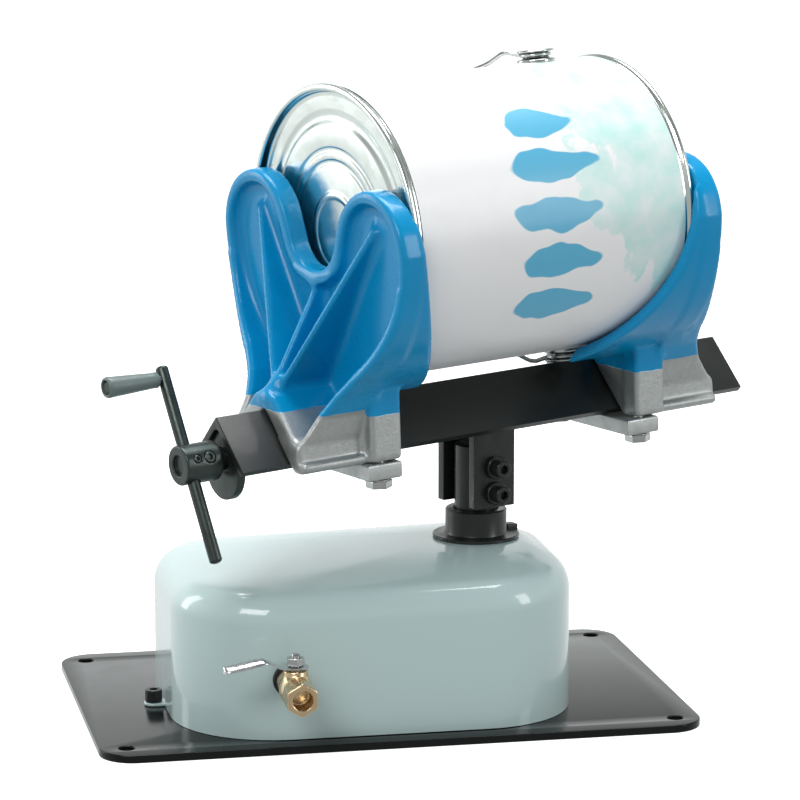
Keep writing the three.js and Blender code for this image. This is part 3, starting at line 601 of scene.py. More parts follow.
def piece(name, mesh, matrix, body, look, nodes=(), sharp=38):
    """Carries a mesh into its frame, gives it its look and lets it ride on its body."""
    mesh.transform(matrix)
    made = placed(name, mesh)
    mesh.materials.clear()
    mesh.materials.append(LOOKS[look].material)
    mesh.shade_smooth()
    mesh.set_sharp_from_angle(angle=radians(sharp))
    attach(made, body)
    if nodes:
        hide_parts(*nodes)
    return made


# --- base plate and housing
def make_base_plate():
    half_x, half_y = PLATE["length"] / 2, PLATE["depth"] / 2
    outline = rounded_rectangle(-half_x, half_x, -half_y, half_y, [PLATE["corner"]] * 4, steps=16)
    centres = [(sx * PLATE["hole_x"], sy * PLATE["hole_y"]) for sx in (-1, 1) for sy in (-1, 1)]
    holes = [circle(PLATE["hole_r"], 40, *centre) for centre in centres]
    plate = prism(outline, 0, PLATE["thick"], holes, bevel=0.7, steps=3)
    piece("plate_shape", plate, HERE, "base", "plate_black", ["base_plate"])


def skin(rings):
    """One closed surface through rings of equal length, the last joined to the first."""
    count = len(rings[0])
    faces = []
    for i in range(len(rings)):
        a, b = i * count, (i + 1) % len(rings) * count
        faces += [(a + k, a + (k + 1) % count, b + (k + 1) % count, b + k) for k in range(count)]
    return tidy(mesh_of([p for ring in rings for p in ring], faces))


def make_housing():
    """A crowned cover: flat round the spindle's collar, falling gently to a rounded edge."""
    top, wall, fillet, crown, seat = (HOUSING[key] for key in ("top", "wall", "fillet", "crown", "seat"))
    sides = HOUSING["x0"], HOUSING["x1"], HOUSING["y0"], HOUSING["y1"]
    last = radians(74)

    def plan(inset):
        return rounded_rectangle(*sides, HOUSING_CORNERS, inset, 20)

    edge = []
    for x, y in plan(fillet * (1 - cos(last))):
        away = hypot(x - SPINDLE_X, y - SPINDLE_Y) - seat
        angle = atan2(y - SPINDLE_Y, x - SPINDLE_X)
        edge.append((x, y, angle, crown * (1 - exp(-away / 30))))

    def level(inset, z):
        return [(x, y, z) for x, y in plan(inset)]

    def round_spindle(r, z):
        return [(SPINDLE_X + r * cos(a), SPINDLE_Y + r * sin(a), z) for _, _, a, _ in edge]

    def rounded(inset, r, steps=16):
        rings = []
        for i in range(steps + 1):
            a = last * i / steps
            rise = r * sin(a) - fillet * sin(last)
            points = zip(plan(inset + r * (1 - cos(a))), edge)
            rings.append([(x, y, top - drop + rise) for (x, y), (_, _, _, drop) in points])
        return rings

    def crowned(share, below=0.0):
        made = []
        for x, y, a, drop in edge:
            to = SPINDLE_X + seat * cos(a), SPINDLE_Y + seat * sin(a)
            z = top - below - drop * (1 - share) ** 1.7
            made.append((x + (to[0] - x) * share, y + (to[1] - y) * share, z))
        return made

    outer = [level(0, FLOOR_Z), level(0, FLOOR_Z + 1), level(0, 40), *rounded(0, fillet)]
    lid = [crowned(s) for s in np.linspace(0.06, 0.95, 14)]
    lid += [round_spindle(seat, top), round_spindle(HOUSING_HOLE_R, top)]
    under = [round_spindle(HOUSING_HOLE_R, top - wall), round_spindle(seat, top - wall)]
    under += [crowned(s, wall) for s in (0.65, 0.3)]
    inner = [*rounded(wall, fillet - wall, 8)[::-1], level(wall, FLOOR_Z)]
    shell = skin([*outer, *lid, *under, *inner])
    tabs = []
    for x, y, angle in TABS.values():
        outline = [(-2, -5.6), *arc(TAB_REACH, 0, 5.6, -90, 90, 16), (-2, 5.6)]
        tab = prism(outline, FLOOR_Z, FLOOR_Z + TAB_THICK, [circle(3.4, 24, TAB_REACH, 0)], bevel=0.4)
        tabs.append(moved(tab, move(x, y, 0) @ turn(radians(angle), "Z")))
    made = piece("housing_shape", joined(shell, *tabs), HERE, "base", "housing_grey", ["housing"], sharp=50)
    return made


def cap_screw(head_r, head_h, socket_flats, shank_r, length):
    """Socket-head cap screw, head up, resting at height 0."""
    chamfer = head_r * 0.1
    head = lathe([
        (0, -length), (shank_r - 0.4, -length), (shank_r, -length + 0.4), (shank_r, 0), (head_r - 0.2, 0),
        (head_r, 0.2), (head_r, head_h - chamfer), (head_r - chamfer * 0.4, head_h - chamfer * 0.35),
        (head_r - chamfer, head_h), (0, head_h),
    ], 48)
    return cut(head, prism(hexagon(socket_flats), head_h * 0.4, head_h + 2, bevel=0.05))


def make_housing_screws():
    for name, (x, y, angle) in TABS.items():
        a = radians(angle)
        place = move(x + TAB_REACH * cos(a), y + TAB_REACH * sin(a), FLOOR_Z + TAB_THICK + GAP)
        mesh = cap_screw(4.9, 7, 4.8, 3, 1.7)
        piece(f"tab_screw_{name}", mesh, place, "base", "black_steel", [f"housing_screw_{name}"], sharp=30)


# --- collar, spindle and bracket
def make_collar():
    z, flange_r, collar_r, collar_top = HOUSING["top"] + GAP, 25, 17.75, 113
    inner = SPINDLE_R + 0.5
    ring = lathe([
        (inner, z), (flange_r - 0.6, z), (flange_r, z + 0.4), (flange_r, z + 1.4), (flange_r - 0.5, z + 1.8),
        (19.2, z + 1.8), (18.2, z + 2.2), (collar_r, z + 3.4), (collar_r, collar_top - 0.8),
        (collar_r - 0.75, collar_top), (inner + 0.7, collar_top), (inner, collar_top - 0.7),
    ], 128)
    tab = prism([(20, -3.5), (26.5, -3.5), (26.5, 3.5), (20, 3.5)], z, z + 4.5, bevel=0.6)
    moved(tab, turn(radians(20), "Z"))
    at = move(SPINDLE_X, SPINDLE_Y, 0)
    piece("collar_shape", joined(ring, tab), at, "base", "black_steel", ["spindle_collar"])


def make_spindle():
    foot, r, top = 8, SPINDLE_R, SPINDLE_TOP
    shaft = lathe([(0, foot), (r - 0.9, foot), (r, foot + 1), (r, top - 1.2), (r - 1.2, top), (0, top)], 96)
    piece("spindle_shape", shaft, SPINDLE_FRAME, "arm", "black_steel", ["spindle"])


SCREW_HEIGHTS = {"upper": 139.6, "lower": 124.6}


def make_bracket():
    inner, outer, washer_thick, nut_high = SPINDLE_R + GAP, 18.5, 3, 5
    facing = turn(pi / 2, "X")  # a prism's height runs towards -Y
    foot, peak = 116.1, RIDGE_Z - 8
    for name, side in (("front", -1), ("rear", 1)):
        outline = [(inner, foot), (outer, foot), (outer, peak - outer), (inner, peak - inner)]
        plate = prism(outline, -14, 14, bevel=0.5, steps=3)
        # outline x is the distance from the spindle, y the height, and the prism runs along the arm
        basis = Matrix(((0, 0, 1, 0), (side, 0, 0, 0), (0, 1, 0, 0), (0, 0, 0, 1)))
        moved(plate, basis)
        if side < 0:
            plate.flip_normals()
        tidy(plate)
        nodes = [f"bracket_plate_{name}"]
        piece(f"bracket_{name}_shape", plate, SPINDLE_FRAME, "arm", "black_steel", nodes)
    for name, z in SCREW_HEIGHTS.items():
        at = SPINDLE_FRAME @ move(0, -outer - GAP, z) @ facing
        washer = lathe([(3.4, 0), (6.4, 0), (6.7, 0.3), (6.7, 2.6), (6.3, 3), (3.4, 3)], 64)
        piece(f"spring_washer_{name}", washer, at, "arm", "black_steel", [f"bracket_washer_{name}"])
        screw = cap_screw(5, 6.2, 4.8, 3, 46)
        at = SPINDLE_FRAME @ move(0, -outer - 2 * GAP - washer_thick, z) @ facing
        piece(f"clamp_screw_{name}", screw, at, "arm", "black_steel", [f"bracket_screw_{name}"], sharp=30)
        nut = prism(hexagon(10), 0, nut_high, [circle(3.2, 32)], bevel=0.5)
        at = SPINDLE_FRAME @ move(0, outer + GAP + nut_high, z) @ facing
        piece(f"clamp_nut_{name}", nut, at, "arm", "black_steel", [f"bracket_nut_{name}"])


# --- rail, lead screw and crank
def make_rail():
    edge, step = RAIL["leg"] / sqrt(2), RAIL["thick"] / sqrt(2)
    round_out, round_in = 1.2, 4.0
    # The section of the angle, ridge up, with a tight outer corner and a rolled inner one.
    outer_mid = -round_out * sqrt(2)
    inner_mid = -2 * step - round_in * sqrt(2)
    section = [
        *arc(0, outer_mid, round_out, 45, 135, 6),
        (-edge, -edge),
        (-edge + step, -edge - step),
        *arc(0, inner_mid, round_in, 135, 45, 8),
        (edge - step, -edge - step),
        (edge, -edge),
    ]
    rail = prism(section, RAIL["u0"], RAIL["u1"], bevel=0.35)
    to_arm = Matrix(((0, 0, 1, 0), (1, 0, 0, 0), (0, 1, 0, 0), (0, 0, 0, 1)))
    piece("rail_shape", moved(rail, to_arm), ARM, "arm", "rail", ["arm_rail"])

    hole = circle(SCREW["r"] + GAP, 40, 0, SCREW["w"])
    plate = [
        (0, -2 * step - 0.6), (-17.6, -2 * step - 18.2), *arc(0, -29.5, 17.6, 180, 360, 40),
        (17.6, -2 * step - 18.2),
    ]
    end_plate = prism(plate, RAIL["u0"] + 2.4, RAIL["u0"] + 7.4, [hole], bevel=0.6)
    piece("end_plate_shape", moved(end_plate, to_arm), ARM, "arm", "dark_steel", ["rail_end_plate"])


def threaded_rod(u0, u1, thread_from, r, pitch):
    """A rod along Z with a trapezoidal thread from thread_from to its far end."""
    around, per_turn, depth = 48, 12, 0.9
    heights = [u0, u0 + 0.6, thread_from - 1]
    heights += list(np.arange(thread_from, u1 - 0.6, pitch / per_turn))
    heights += [u1]
    points = []
    for n, z in enumerate(heights):
        for k in range(around):
            a = 2 * pi * k / around
            wave = abs(((z / pitch + k / around) % 1) * 2 - 1)
            dip = depth * min(max((wave - 0.28) / 0.3, 0), 1)
            if z < thread_from or n == len(heights) - 1:
                dip = 0 if z < thread_from else depth
            radius = r - dip - (0.6 if n in (0, len(heights) - 1) else 0)
            points.append((radius * cos(a), radius * sin(a), z))
    faces = []
    for n in range(len(heights) - 1):
        for k in range(around):
            a, b = n * around, (n + 1) * around
            faces.append((a + k, a + (k + 1) % around, b + (k + 1) % around, b + k))
    faces.append(tuple(range(around))[::-1])
    faces.append(tuple(range((len(heights) - 1) * around, len(heights) * around)))
    return tidy(mesh_of(points, faces))


def make_screw():
    rod = threaded_rod(SCREW["u0"], SCREW["u1"], RAIL["u0"] + 14, SCREW["r"], SCREW["pitch"])
    piece("lead_screw_shape", rod, SCREW_AXIS, "screw", "dark_steel", ["lead_screw"], sharp=60)
    u = RAIL["u0"] + 7.8
    inner = SCREW["r"] + GAP
    collar = lathe([(inner, u), (8.5, u), (9, u + 0.5), (9, u + 4.7), (8.5, u + 5.2), (inner, u + 5.2)], 64)
    piece("stop_collar", collar, SCREW_AXIS, "screw", "dark_steel", ["screw_collar"])
    u = CAN["u0"] - 8
    nut = lathe([(inner, u), (9.5, u), (10, u + 0.5), (10, u + 23.5), (9.5, u + 24), (inner, u + 24)], 64)
    piece("jaw_nut_shape", nut, SCREW_AXIS, "sliding_jaw", "bronze", ["jaw_nut"])


def from_end(length, points):
    """Profile points whose second number is measured back from the far end."""
    return [(r, length - back) for r, back in points]


def capsule(length, r, segments=40):
    """A rod along Z from -length to length with domed ends."""
    dome = [(r * cos(a), r * 0.55 * sin(a)) for a in np.linspace(0, pi / 2, 9)]
    dome[-1] = (0, r * 0.55)
    lower = [(x, -length - z) for x, z in reversed(dome)]
    return lathe([*lower, *[(x, length + z) for x, z in dome]], segments)


def make_crank():
    along = ARM @ move(CRANK["u"], 0, SCREW["w"]) @ turn(-CRANK["lean"], "X")  # Z runs up the handle
    arm = capsule(CRANK["reach"] + 1.5, CRANK["r"])
    reach = CRANK["reach"] - 4
    length = CRANK["u"] - CRANK["grip_end"]
    outward = move(0, 0, reach) @ turn(-pi / 2, "Y")  # Z runs away from the arm
    tip = from_end(length, [(2.3, 3), (3.6, 2.8), (3.6, 1.6), (2.9, 1), (0, 1)])
    pin = lathe([(0, 0), (2.3, 0), *tip], 40)
    piece("crank_shape", joined(arm, moved(pin, outward)), along, "screw", "dark_steel", ["crank_arm"])

    start = CRANK["r"] + 1
    tip = from_end(length, [(5.75, 4), (5.9, 1.6), (5.5, 0.4), (4.7, 0), (4.2, 0.3), (4.1, 3.2), (2.7, 3.4)])
    grip = lathe([
        (2.7, start), (3.9, start), (4.5, start + 0.7), (4.4, start + 4), (4.7, start + 9), (5.3, start + 20),
        *tip,
    ], 64)
    piece("grip_shape", grip, along @ outward, "grip", "grip_grey", ["crank_grip"], sharp=50)

    lean, r = CRANK["lean"], CRANK["r"] + 0.25
    set_way = (-0.9, 0.436)  # (across, up) towards the set screws
    set_screws = {"hub_set_screw": (-184, 3.5), "hub_lock_screw": (-191.8, 2.5)}

    def hub(u, v, w):
        across, up = v, w - SCREW["w"]
        radius = np.sqrt(across**2 + up**2)
        body = both(radius - 11.1, slab(u, -199, RAIL["u0"] - 2.3), 1.2)
        bore = both(radius - 5.8, u + 197.1)
        body = both(body, -bore, 0.8)
        side = across * cos(lean) - up * sin(lean)
        body = both(body, -(np.sqrt(side**2 + (u - CRANK["u"]) ** 2) - r), 0.5)
        for place, hole in set_screws.values():
            off = across * set_way[1] - up * set_way[0]
            ahead = across * set_way[0] + up * set_way[1]
            body = both(body, -both(np.sqrt(off**2 + (u - place) ** 2) - hole, 9.4 - ahead), 0.4)
        return body

    box = (RAIL["u0"] - 26, -12, SCREW["w"] - 12), (RAIL["u0"] - 1, 12, SCREW["w"] + 12)
    piece("crank_hub_shape", cast(hub, *box, 0.4), ARM, "screw", "dark_steel", ["crank_hub"], sharp=60)
    angle = atan2(-set_way[0], set_way[1])
    for name, (u, r) in set_screws.items():
        at = ARM @ move(u, 0, SCREW["w"]) @ turn(angle, "X")
        disc = cut(
            lathe([(0, 8.3), (r - 0.4, 8.3), (r - 0.4, 10.6), (r - 0.8, 10.9), (0, 10.9)], 40),
            prism(hexagon(r * 0.95), 9.4, 12, bevel=0.03),
        )
        piece(f"{name}_shape", disc, at, "screw", "dark_steel", [name], sharp=30)


# --- jaws
LOBE = [
    (0, 72.5), (12, 75.3), (20.5, 83.5), (25, 95), (31, 108), (42, 118.3),
    (55, 122.8), (68, 121.5), (80, 115), (88.2, 104), (92, 91.7),
]
LOBE_INSIDE = [
    (0, 65.5), (14, 68.5), (26, 78), (31.5, 93), (37, 105.5), (46, 113.5),
    (56, 116.5), (67, 115), (76.5, 109.5), (83, 100.5), (85.5, 91.7),
]
LIP_R, CAN_ROOM_R, RIM, FOOT = 92, 84.6, 14, 48
UNDERSIDE = -29.8


def jaw_field(edge_r, edge_x, edge_z):
    """Distance function of a jaw: x out from the can's end, y across, z up from the ridge."""
    axis = CAN["axis"]
    lobes = smooth(LOBE, 60)
    cup_outline = mirrored([*lobes, *arc(0, axis, LIP_R, -4, -88, 40), (0, axis - LIP_R)])
    skirt_outline = mirrored([
        *lobes, *arc(0, axis, LIP_R, -4, -52, 24), (47, 9), (40, -2), (37.5, -13),
        (37.5, UNDERSIDE), (0, UNDERSIDE),
    ])
    pocket_outline = mirrored([
        *smooth(LOBE_INSIDE, 60), *arc(0, axis, 85.5, -4, -50, 24),
        (43, 13), (36, 2), (33.5, -8), (33.5, -20), (22, -14), (0, 6),
    ])
    saddle_outline = mirrored([(0, 10.5), (9, 8), (35, -18), (37.5, -24), (37.5, UNDERSIDE), (0, UNDERSIDE)])
    lobe_turn = atan2(60, 98)

    def rib(x, across, up, reach, thick):
        """An upright plate whose outer edge slopes from the saddle to the rim."""
        slope = ((x - 38) * (reach - 21) + (up - 13) * (38 - RIM + 1)) / hypot(reach - 21, 39 - RIM)
        profile = both(both(slope, 3 - x), both(-up, up - reach), 1)
        return both(profile, np.abs(across) - thick / 2 + 0.02 * (x - 6), 1.5)

    def field(x, y, z):
        radius = np.sqrt(y**2 + (z - axis) ** 2)
        cup = both(outline_distance(cup_outline, y, z), slab(x, -60, RIM), 3)
        skirt = both(outline_distance(skirt_outline, y, z), slab(x, 1, FOOT), 2.5)
        shell = either(cup, skirt, 3)
        skirt_edge = np.sqrt((x - RIM - 140) ** 2 + (z - 75) ** 2) - 140
        shell = both(shell, -skirt_edge, 2.5)
        shell = both(shell, -both(RIM - x, 75 - z), 2.5)
        pocket = both(outline_distance(pocket_outline, y, z), 6.5 - x, 7)
        shell = both(shell, -pocket, 2.2)
        saddle = both(outline_distance(saddle_outline, y, z), slab(x, -14, FOOT), 2)
        whole = either(shell, saddle, 5)
        for side in (-1, 1):
            across = y * cos(lobe_turn) - side * (z - 6) * sin(lobe_turn)
            up = side * y * sin(lobe_turn) + (z - 6) * cos(lobe_turn)
            whole = either(whole, rib(x, across, up, 113, 4.6), 6)
        whole = either(whole, rib(x, y, z - 6, 64, 5.0), 6)
        whole = either(whole, block(x, y, z, (-14, -45, UNDERSIDE), (6.5, 45, 15), 2.5), 2.5)
        whole = both(whole, -(both(both(36.6 - np.abs(y), slab(x, 8.5, 60)), slab(z, -27, -13.5), 3)), 1.5)
        whole = either(whole, block(x, y, z, (0, -41, UNDERSIDE), (FOOT, 41, UNDERSIDE + 4.5), 1.8), 1.5)
        whole = both(whole, -(np.sqrt((x - edge_x) ** 2 + (z - edge_z) ** 2 + 0 * y) - edge_r), 3)
        whole = both(whole, -block(x, y, z, (-61, -32, -60), (-14, 32, 30), 2), 2)
        whole = both(whole, -both(radius - CAN_ROOM_R, x - 0.5), 1.2)
        way_out = both(both(np.abs(y) - CAN_ROOM_R, axis - z), x - 0.5)
        whole = both(whole, -way_out, 1)
        return both(whole, (0.7 - z - np.abs(y)) / sqrt(2), 0.8)

    return field


def make_jaws():
    for side, body in (("left", "sliding_jaw"), ("right", "arm")):
        mesh = cast(jaw_field(*LIP_EDGE[side]), (-62, -94, -33), (47, 94, 125), 1.2)
        name, look, nodes = f"{side}_jaw_casting", f"jaw_blue_{side}", [f"{side}_jaw"]
        shape = piece(name, mesh, JAW[side], body, look, nodes, sharp=180)
        relax = shape.modifiers.new("relax", "SMOOTH")
        relax.factor, relax.iterations = 0.5, 3
        make_keeper(side, body)


def make_keeper(side, body):
    """The bar under a jaw and its two bolts."""
    x0, x1, bolt = KEEPER[side]["x0"], KEEPER[side]["x1"], KEEPER[side]["bolt"]
    bar = prism([(-45, x0), (45, x0), (45, x1), (-45, x1)], -40, -30.5, bevel=1.5, steps=4)
    moved(bar, Matrix(((0, 1, 0, 0), (1, 0, 0, 0), (0, 0, 1, 0), (0, 0, 0, 1))))
    tidy(bar)
    if side == "left":
        r, half = 10.6, 30  # the room the lead screw's nut needs
        room = lathe([(0, -half), (r, -half), (r, half), (0, half)], 48)
        bar = cut(bar, moved(room, move(0, 0, SCREW["w"]) @ ALONG_U))
    piece(f"{side}_keeper_bar", bar, JAW[side], body, "aluminium", [f"{side}_keeper"], sharp=45)
    for end, v in (("front", -38), ("rear", 38)):
        place = JAW[side] @ move(bolt, -v if side == "left" else v, 0)
        head = prism(hexagon(13), -45.3, -40.7, bevel=0.7)
        flange = lathe([(0, -40.9), (6.2, -40.9), (6.2, -40.3), (4, -40.3), (4, -13), (0, -13)], 48)
        shape = joined(head, flange)
        name = f"{side}_bolt_{end}"
        piece(f"{name}_shape", shape, place, body, "bright_steel", [name], sharp=30)


# --- paint can
def rounded_profile(points, r=0.5, steps=4):
    """A profile whose inner corners are rounded by at most r."""
    made = [points[0]]
    for a, b, c in zip(points, points[1:], points[2:]):
        a, b, c = (np.array(p, float) for p in (a, b, c))
        reach = min(r, np.linalg.norm(a - b) * 0.45, np.linalg.norm(c - b) * 0.45)
        start = b + (a - b) / np.linalg.norm(a - b) * reach
        end = b + (c - b) / np.linalg.norm(c - b) * reach
        for i in range(steps + 1):
            t = i / steps
            made.append(tuple((1 - t) ** 2 * start + 2 * t * (1 - t) * b + t * t * end))
    return [*made, points[-1]]


def make_can():
    length = CAN["u1"] - CAN["u0"]
    body, chime = CAN["body"], CAN["chime"]
    bottom = [
        (0, 3.9), (19, 3.9), (20.5, 3.2), (22.5, 3.2), (24, 3.9), (38, 3.9), (39, 4.5), (41, 4.5), (42, 3.9),
        (45, 3.9), (46, 4.5), (48, 4.5), (49, 3.9), (61, 3.9), (63.5, 5.6), (67, 5.6), (69, 4.9),
        (77.5, 4.9), (79.2, 4.4), (80.0, 1.0), (80.9, 0.2), (83.0, 0.2), (chime, 1.1), (chime, 2.8),
        (83.3, 3.6), (body - 0.3, 4.4), (body - 0.3, 8.0),
    ]
    top = from_end(length, [
        (body - 0.3, 8), (body - 0.3, 4.4), (83.3, 3.6), (chime, 2.8), (chime, 1.1), (83.0, 0.2), (80.9, 0.2),
        (80.0, 1.0), (79.4, 3.4), (73.5, 3.4), (72.0, 1.8), (70.2, 1.7), (69.6, 2.6), (69.6, 5.0),
        (body - 1.5, 6.2),
    ])
    inside = [(body - 1.5, 7.5), (0, 7.5)]
    shell = lathe(rounded_profile([*bottom, *top, *inside], 0.9), 160)
    piece("can_shell", shell, CAN_AXIS, "can", "can_tin", ["can_body"], sharp=60)

    lid = from_end(length, [
        (0, 5.6), (69.0, 5.6), (69.2, 1.5), (71.5, 1.3), (73, 1.2), (73.2, 0.7), (72.6, 0.3), (68.4, 0.3),
        (67.4, 1.0), (66.8, 4.0), (60, 4.2), (58.5, 3.4), (56.5, 3.4), (55, 4.2), (0, 4.2),
    ])
    disc = lathe(rounded_profile(lid, 0.6), 160)
    piece("lid_shape", disc, CAN_AXIS, "can", "can_tin", ["can_lid"], sharp=60)

    # Paper label with an overlapped seam behind the can.
    r, overlap = body + 0.15, 0.14
    steps, first = 240, 0.35
    outer, inner = [], []
    for k in range(steps + 1):
        a = first + (2 * pi + overlap) * k / steps
        lift = 0.22 * min(max((k / steps - 0.96) / 0.03, 0), 1)
        outer.append((cos(a) * (r + 0.18 + lift), sin(a) * (r + 0.18 + lift)))
        inner.append((cos(a) * (r + lift), sin(a) * (r + lift)))
    paper = [*outer, *reversed(inner)]
    n, heights = len(paper), [6.2, 7, *np.linspace(20, length - 20, 8), length - 7, length - 6.2]
    points = [(x, y, z) for z in heights for x, y in paper]
    faces = [
        (i * n + k, i * n + (k + 1) % n, (i + 1) * n + (k + 1) % n, (i + 1) * n + k)
        for i in range(len(heights) - 1)
        for k in range(n)
    ]
    for i, flip in ((0, True), (len(heights) - 1, False)):
        for k in range(steps):
            quad = (i * n + k, i * n + k + 1, i * n + n - 2 - k, i * n + n - 1 - k)
            faces.append(quad[::-1] if flip else quad)
    label = tidy(mesh_of(points, faces))
    piece("can_label", label, LABEL_FRAME, "can", "label", sharp=60)


def make_bail():
    ear = [
        (0, 82.2), (11, 82.2), (11.3, 82.6), (11.2, 84.0), (10.6, 84.5), (8.6, 84.7), (7.6, 85.3),
        (7.3, 86.2), (7.3, 88.0), (7.8, 88.3), (10.4, 88.4), (11, 88.7), (10.9, 89.3), (10.2, 89.8),
        (4.2, 89.9), (3.4, 89.4), (0, 89.3),
    ]
    for name, frame_turn in (("upper", HERE), ("lower", turn(pi, "X"))):
        shape = lathe(rounded_profile(ear, 0.4), 72)
        at = CAN_MIDDLE @ frame_turn
        piece(f"ear_{name}_shape", shape, at, "can", "bright_steel", [f"can_ear_{name}"])
    route = []
    for a in np.linspace(0.05, pi - 0.05, 90):
        end = min(a, pi - a)
        hump = 4.0 * exp(-(((end - 0.17) / 0.07) ** 2))
        route.append((0, 112 * sin(a), (86.7 + hump) * cos(a)))
    eyes = []
    for side in (1, -1):
        turns = np.linspace(0, 2 * pi, 49)
        eyes.append(tube([(8.4 * cos(a), 8.4 * sin(a), side * 86.9) for a in turns], 1.0))
    wire = joined(tube(route, 1.3), *eyes)
    at = CAN_MIDDLE @ turn(BAIL_SWING, "Z")
    piece("bail_wire", wire, at, "can_bail", "bright_steel", ["bail"], sharp=80)


# --- air valve
def make_valve():
    x0, z0, stem_y, front = VALVE["x"], VALVE["z"], VALVE["stem_y"], VALVE["front_y"]
    wall = HOUSING["y0"]

    def body(x, y, z):
        side, up = x - x0, z - z0
        radius = np.sqrt(side**2 + up**2)
        made = both(radius - 6.4, slab(y, wall - 6, -84), 0.8)
        barrel = both(radius - 7.7, slab(y, -131, wall - 4.6), 1.2)
        middle = np.sqrt(side**2 + up**2 + ((y - stem_y + 1) * 0.8) ** 2) - 9.0
        made = either(made, either(barrel, middle, 3), 1)
        slopes = np.abs(side * 0.5 + up * 0.866), np.abs(side * 0.5 - up * 0.866)
        flats = np.maximum(np.abs(side), np.maximum(*slopes))
        made = either(made, both(both(flats - 8.4, radius - 9.4, 0.6), slab(y, front, -130.5), 1.0), 1.2)
        neck = np.sqrt(side**2 + (y - stem_y) ** 2)
        made = either(made, both(neck - 7.0 + (z - z0) * 0.03, slab(z, z0, 51), 1.0), 2.5)
        thread = 5.9 + 0.3 * np.sin(y * 2 * pi / 1.4)
        made = both(made, -both(radius - thread, slab(y, -152, -132)), 0.4)
        return both(made, -both(radius - 4.2, slab(y, -129, -80)), 0.3)

    box = (x0 - 11, front, z0 - 11), (x0 + 11, -84, 52)
    piece("valve_body_shape", cast(body, *box, 0.45), HERE, "base", "brass", ["valve_body"], sharp=60)

    to_front = move(x0, 0, z0) @ turn(pi / 2, "X")  # Z runs towards -Y
    near, far = -wall + GAP, -wall + GAP + 4
    gasket = lathe([(6.8, near), (8.6, near), (9, near + 0.5), (9, far - 0.5), (8.6, far), (6.8, far)], 64)
    piece("gasket_shape", gasket, to_front, "base", "rubber", ["valve_gasket"])

    stem = joined(
        lathe([(4.3 * sin(a), 40 - 4.3 * cos(a)) for a in np.linspace(0, pi, 17)], 40),
        lathe([(0, 42), (2.4, 42), (2.4, 59.4), (1.9, 60), (0, 60)], 40),
    )
    piece("stem_shape", stem, move(x0, stem_y, 0), "valve_handle", "bright_steel", ["valve_stem"])

    # Lever: a bent strip whose width swells towards its round tip.
    path = [
        (7, 52.6), (2, 52.6), (-5, 52.6), (-9, 53.0), (-14, 55.4), (-18, 57.6), (-22, 57.3), (-29, 55.9),
        (-36, 54.7), (-40, 54.0),
    ]
    line = smooth(path, 60)
    points, faces, thick = [], [], 1.1
    across = np.linspace(-1, 1, 13)
    for i, (px, pz) in enumerate(line):
        share = i / (len(line) - 1)
        width = 5.4 - 1.6 * exp(-(((share - 0.42) / 0.13) ** 2))
        tip = min(share / 0.07, 1) if share < 0.5 else min((1 - share) / 0.1, 1)
        width *= sqrt(max(1 - (1 - tip) ** 2, 0.01))
        for level in (1, -1):
            for s in across:
                cup = -2.4 * s * s * min(max((share - 0.45) / 0.15, 0), 1)
                drop = thick / 2 * level * (1 - 0.35 * abs(s) ** 6)
                points.append((px, s * width, pz + drop + cup))
    row = 2 * len(across)
    for i in range(len(line) - 1):
        a, b, m = i * row, (i + 1) * row, len(across)
        for k in range(m - 1):
            faces.append((a + k, a + k + 1, b + k + 1, b + k))
            faces.append((b + m + k, b + m + k + 1, a + m + k + 1, a + m + k))
        faces.append((a, b, b + m, a + m))
        faces.append((a + m - 1, a + 2 * m - 1, b + 2 * m - 1, b + m - 1))
    for a in (0, (len(line) - 1) * row):
        loop = [*range(a, a + len(across)), *reversed(range(a + len(across), a + row))]
        faces.append(tuple(loop))
    lever = tidy(mesh_of(points, faces))
    piece("lever_shape", lever, move(x0, stem_y, 0), "valve_handle", "lever", ["valve_lever"], sharp=60)
    nut = prism(hexagon(9), 53.8, 58.0, [circle(2.5, 32)], bevel=0.5)
    piece("nut_shape", nut, move(x0, stem_y, 0), "valve_handle", "bright_steel", ["valve_nut"])


# --- pieces inside the housing
INSIDE = {
    "bearing_pedestal": ("cast_iron", 1.2),
    "lower_bearing": ("bronze", 0.4),
    "upper_bearing": ("bronze", 0.4),
    "thrust_washer": ("bright_steel", 0.3),
    "cylinder_tube": ("turned", 0.4),
    "cylinder_rear_cap": ("dark_steel", 0.8),
    "cylinder_front_cap": ("dark_steel", 0.8),
    "cylinder_foot_rear": ("dark_steel", 0.8),
    "cylinder_foot_front": ("dark_steel", 0.8),
    "exhaust_silencer": ("bronze", 0.5),
    "hose_fitting": ("brass", 0.5),
    "air_hose": ("rubber", 0.0),
    "piston": ("turned", 0.5),
    "piston_rod": ("bright_steel", 0.4),
    "rod_clevis": ("black_steel", 0.8),
    "drive_pin": ("bright_steel", 0.4),
    "rocker": ("cast_iron", 0.8),
}


def dress_inside():
    for name, (look, width) in INSIDE.items():
        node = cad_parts[name]
        node.data.materials.clear()
        node.data.materials.append(LOOKS[look].material)
        if width:
            rounding = node.modifiers.new("rounding", "BEVEL")
            rounding.width, rounding.segments, rounding.limit_method = width * MM, 3, "ANGLE"
            rounding.angle_limit, rounding.harden_normals = radians(35), True


# --- studio
FLOOR_HALF = 6000


def aimed(name, data, place, way):
    """A lamp or camera that stands at a place and looks along a direction."""
    made = placed(name, data)
    made.location = place
    made.rotation_mode = "QUATERNION"
    made.rotation_quaternion = way.to_track_quat("-Z", "Y")
    return made


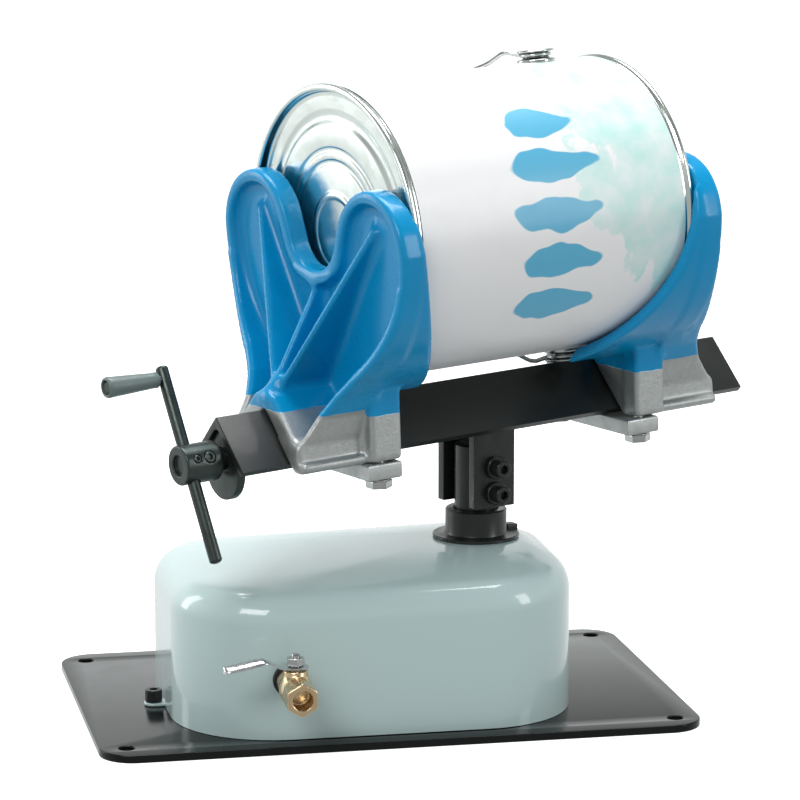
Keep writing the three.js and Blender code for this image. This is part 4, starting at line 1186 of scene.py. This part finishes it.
def make_studio():
    corners = [(x * FLOOR_HALF, y * FLOOR_HALF, 0) for x, y in ((-1, -1), (1, -1), (1, 1), (-1, 1))]
    floor_mesh = mesh_of(corners, [(0, 1, 2, 3)])
    floor = placed("floor", floor_mesh)
    pale = bpy.data.materials.new("pale_floor")
    pale.use_nodes = True
    floor_shader = pale.node_tree.nodes["Principled BSDF"]
    floor_shader.inputs["Base Color"].default_value = (0.82, 0.82, 0.82, 1)
    floor_shader.inputs["Roughness"].default_value = 0.7
    floor_shader.inputs["Emission Color"].default_value = (1, 1, 1, 1)
    floor_shader.inputs["Emission Strength"].default_value = 0.8
    floor_mesh.materials.append(pale)
    floor.visible_diffuse = False
    floor.visible_glossy = False

    world = bpy.data.worlds.new("studio")
    world.use_nodes = True
    bpy.context.scene.world = world
    nodes, links = world.node_tree.nodes, world.node_tree.links
    background = nodes["Background"]
    way = nodes.new("ShaderNodeTexCoord").outputs["Generated"]
    split = nodes.new("ShaderNodeSeparateXYZ")
    links.new(way, split.inputs[0])
    rise = nodes.new("ShaderNodeMapRange")
    links.new(split.outputs["Z"], rise.inputs["Value"])
    rise.inputs["From Min"].default_value = -1.0
    ramp = nodes.new("ShaderNodeValToRGB")
    stops = ((0.0, 0.64), (0.5, 0.74), (0.70, 0.74), (0.79, 0.26), (1.0, 0.38))
    while len(ramp.color_ramp.elements) < len(stops):
        ramp.color_ramp.elements.new(0.5)
    for element, (position, grey) in zip(ramp.color_ramp.elements, stops):
        element.position, element.color = position, (grey * 0.97, grey, grey, 1)
    links.new(rise.outputs["Result"], ramp.inputs[0])
    behind = nodes.new("ShaderNodeMapRange")
    links.new(split.outputs["Y"], behind.inputs["Value"])
    for socket, value in (("From Min", -0.6), ("From Max", 0.8), ("To Min", 0.62), ("To Max", 1.35)):
        behind.inputs[socket].default_value = value
    links.new(behind.outputs["Result"], background.inputs["Strength"])
    links.new(ramp.outputs[0], background.inputs["Color"])

    middle = Vector((0, 0, 0.18))
    softboxes = {
        "key": ((-1.1, -1.5, 1.5), (1.1, 0.7), 17),
        "fill": ((1.7, -1.2, 0.8), (0.5, 1.2), 9),
        "top": ((0.1, 0.3, 1.9), (1.4, 0.9), 36),
        "rim": ((-1.5, 0.9, 0.7), (0.4, 1.2), 6),
    }
    for name, (place, size, power) in softboxes.items():
        lamp = bpy.data.lights.new(name, "AREA")
        lamp.shape, lamp.size, lamp.size_y, lamp.energy = "RECTANGLE", size[0], size[1], power
        aimed(name, lamp, place, middle - Vector(place))

    lens = bpy.data.cameras.new("camera")
    lens.lens, lens.sensor_width = 165.6, 36
    aim, distance = Vector((0.017, 0.0015, 0.1745)), 2.117
    azimuth, elevation = radians(-11.47), radians(10.73)
    level = cos(elevation)
    back = Vector((sin(azimuth) * level, -cos(azimuth) * level, sin(elevation)))
    bpy.context.scene.camera = aimed("camera", lens, aim + back * distance, -back)
    bpy.context.scene.view_settings.view_transform = "Standard"


make_studio()
make_base_plate()
make_housing()
make_housing_screws()
make_collar()
make_spindle()
make_bracket()
make_rail()
make_screw()
make_crank()
make_jaws()
make_can()
make_bail()
make_valve()
dress_inside()
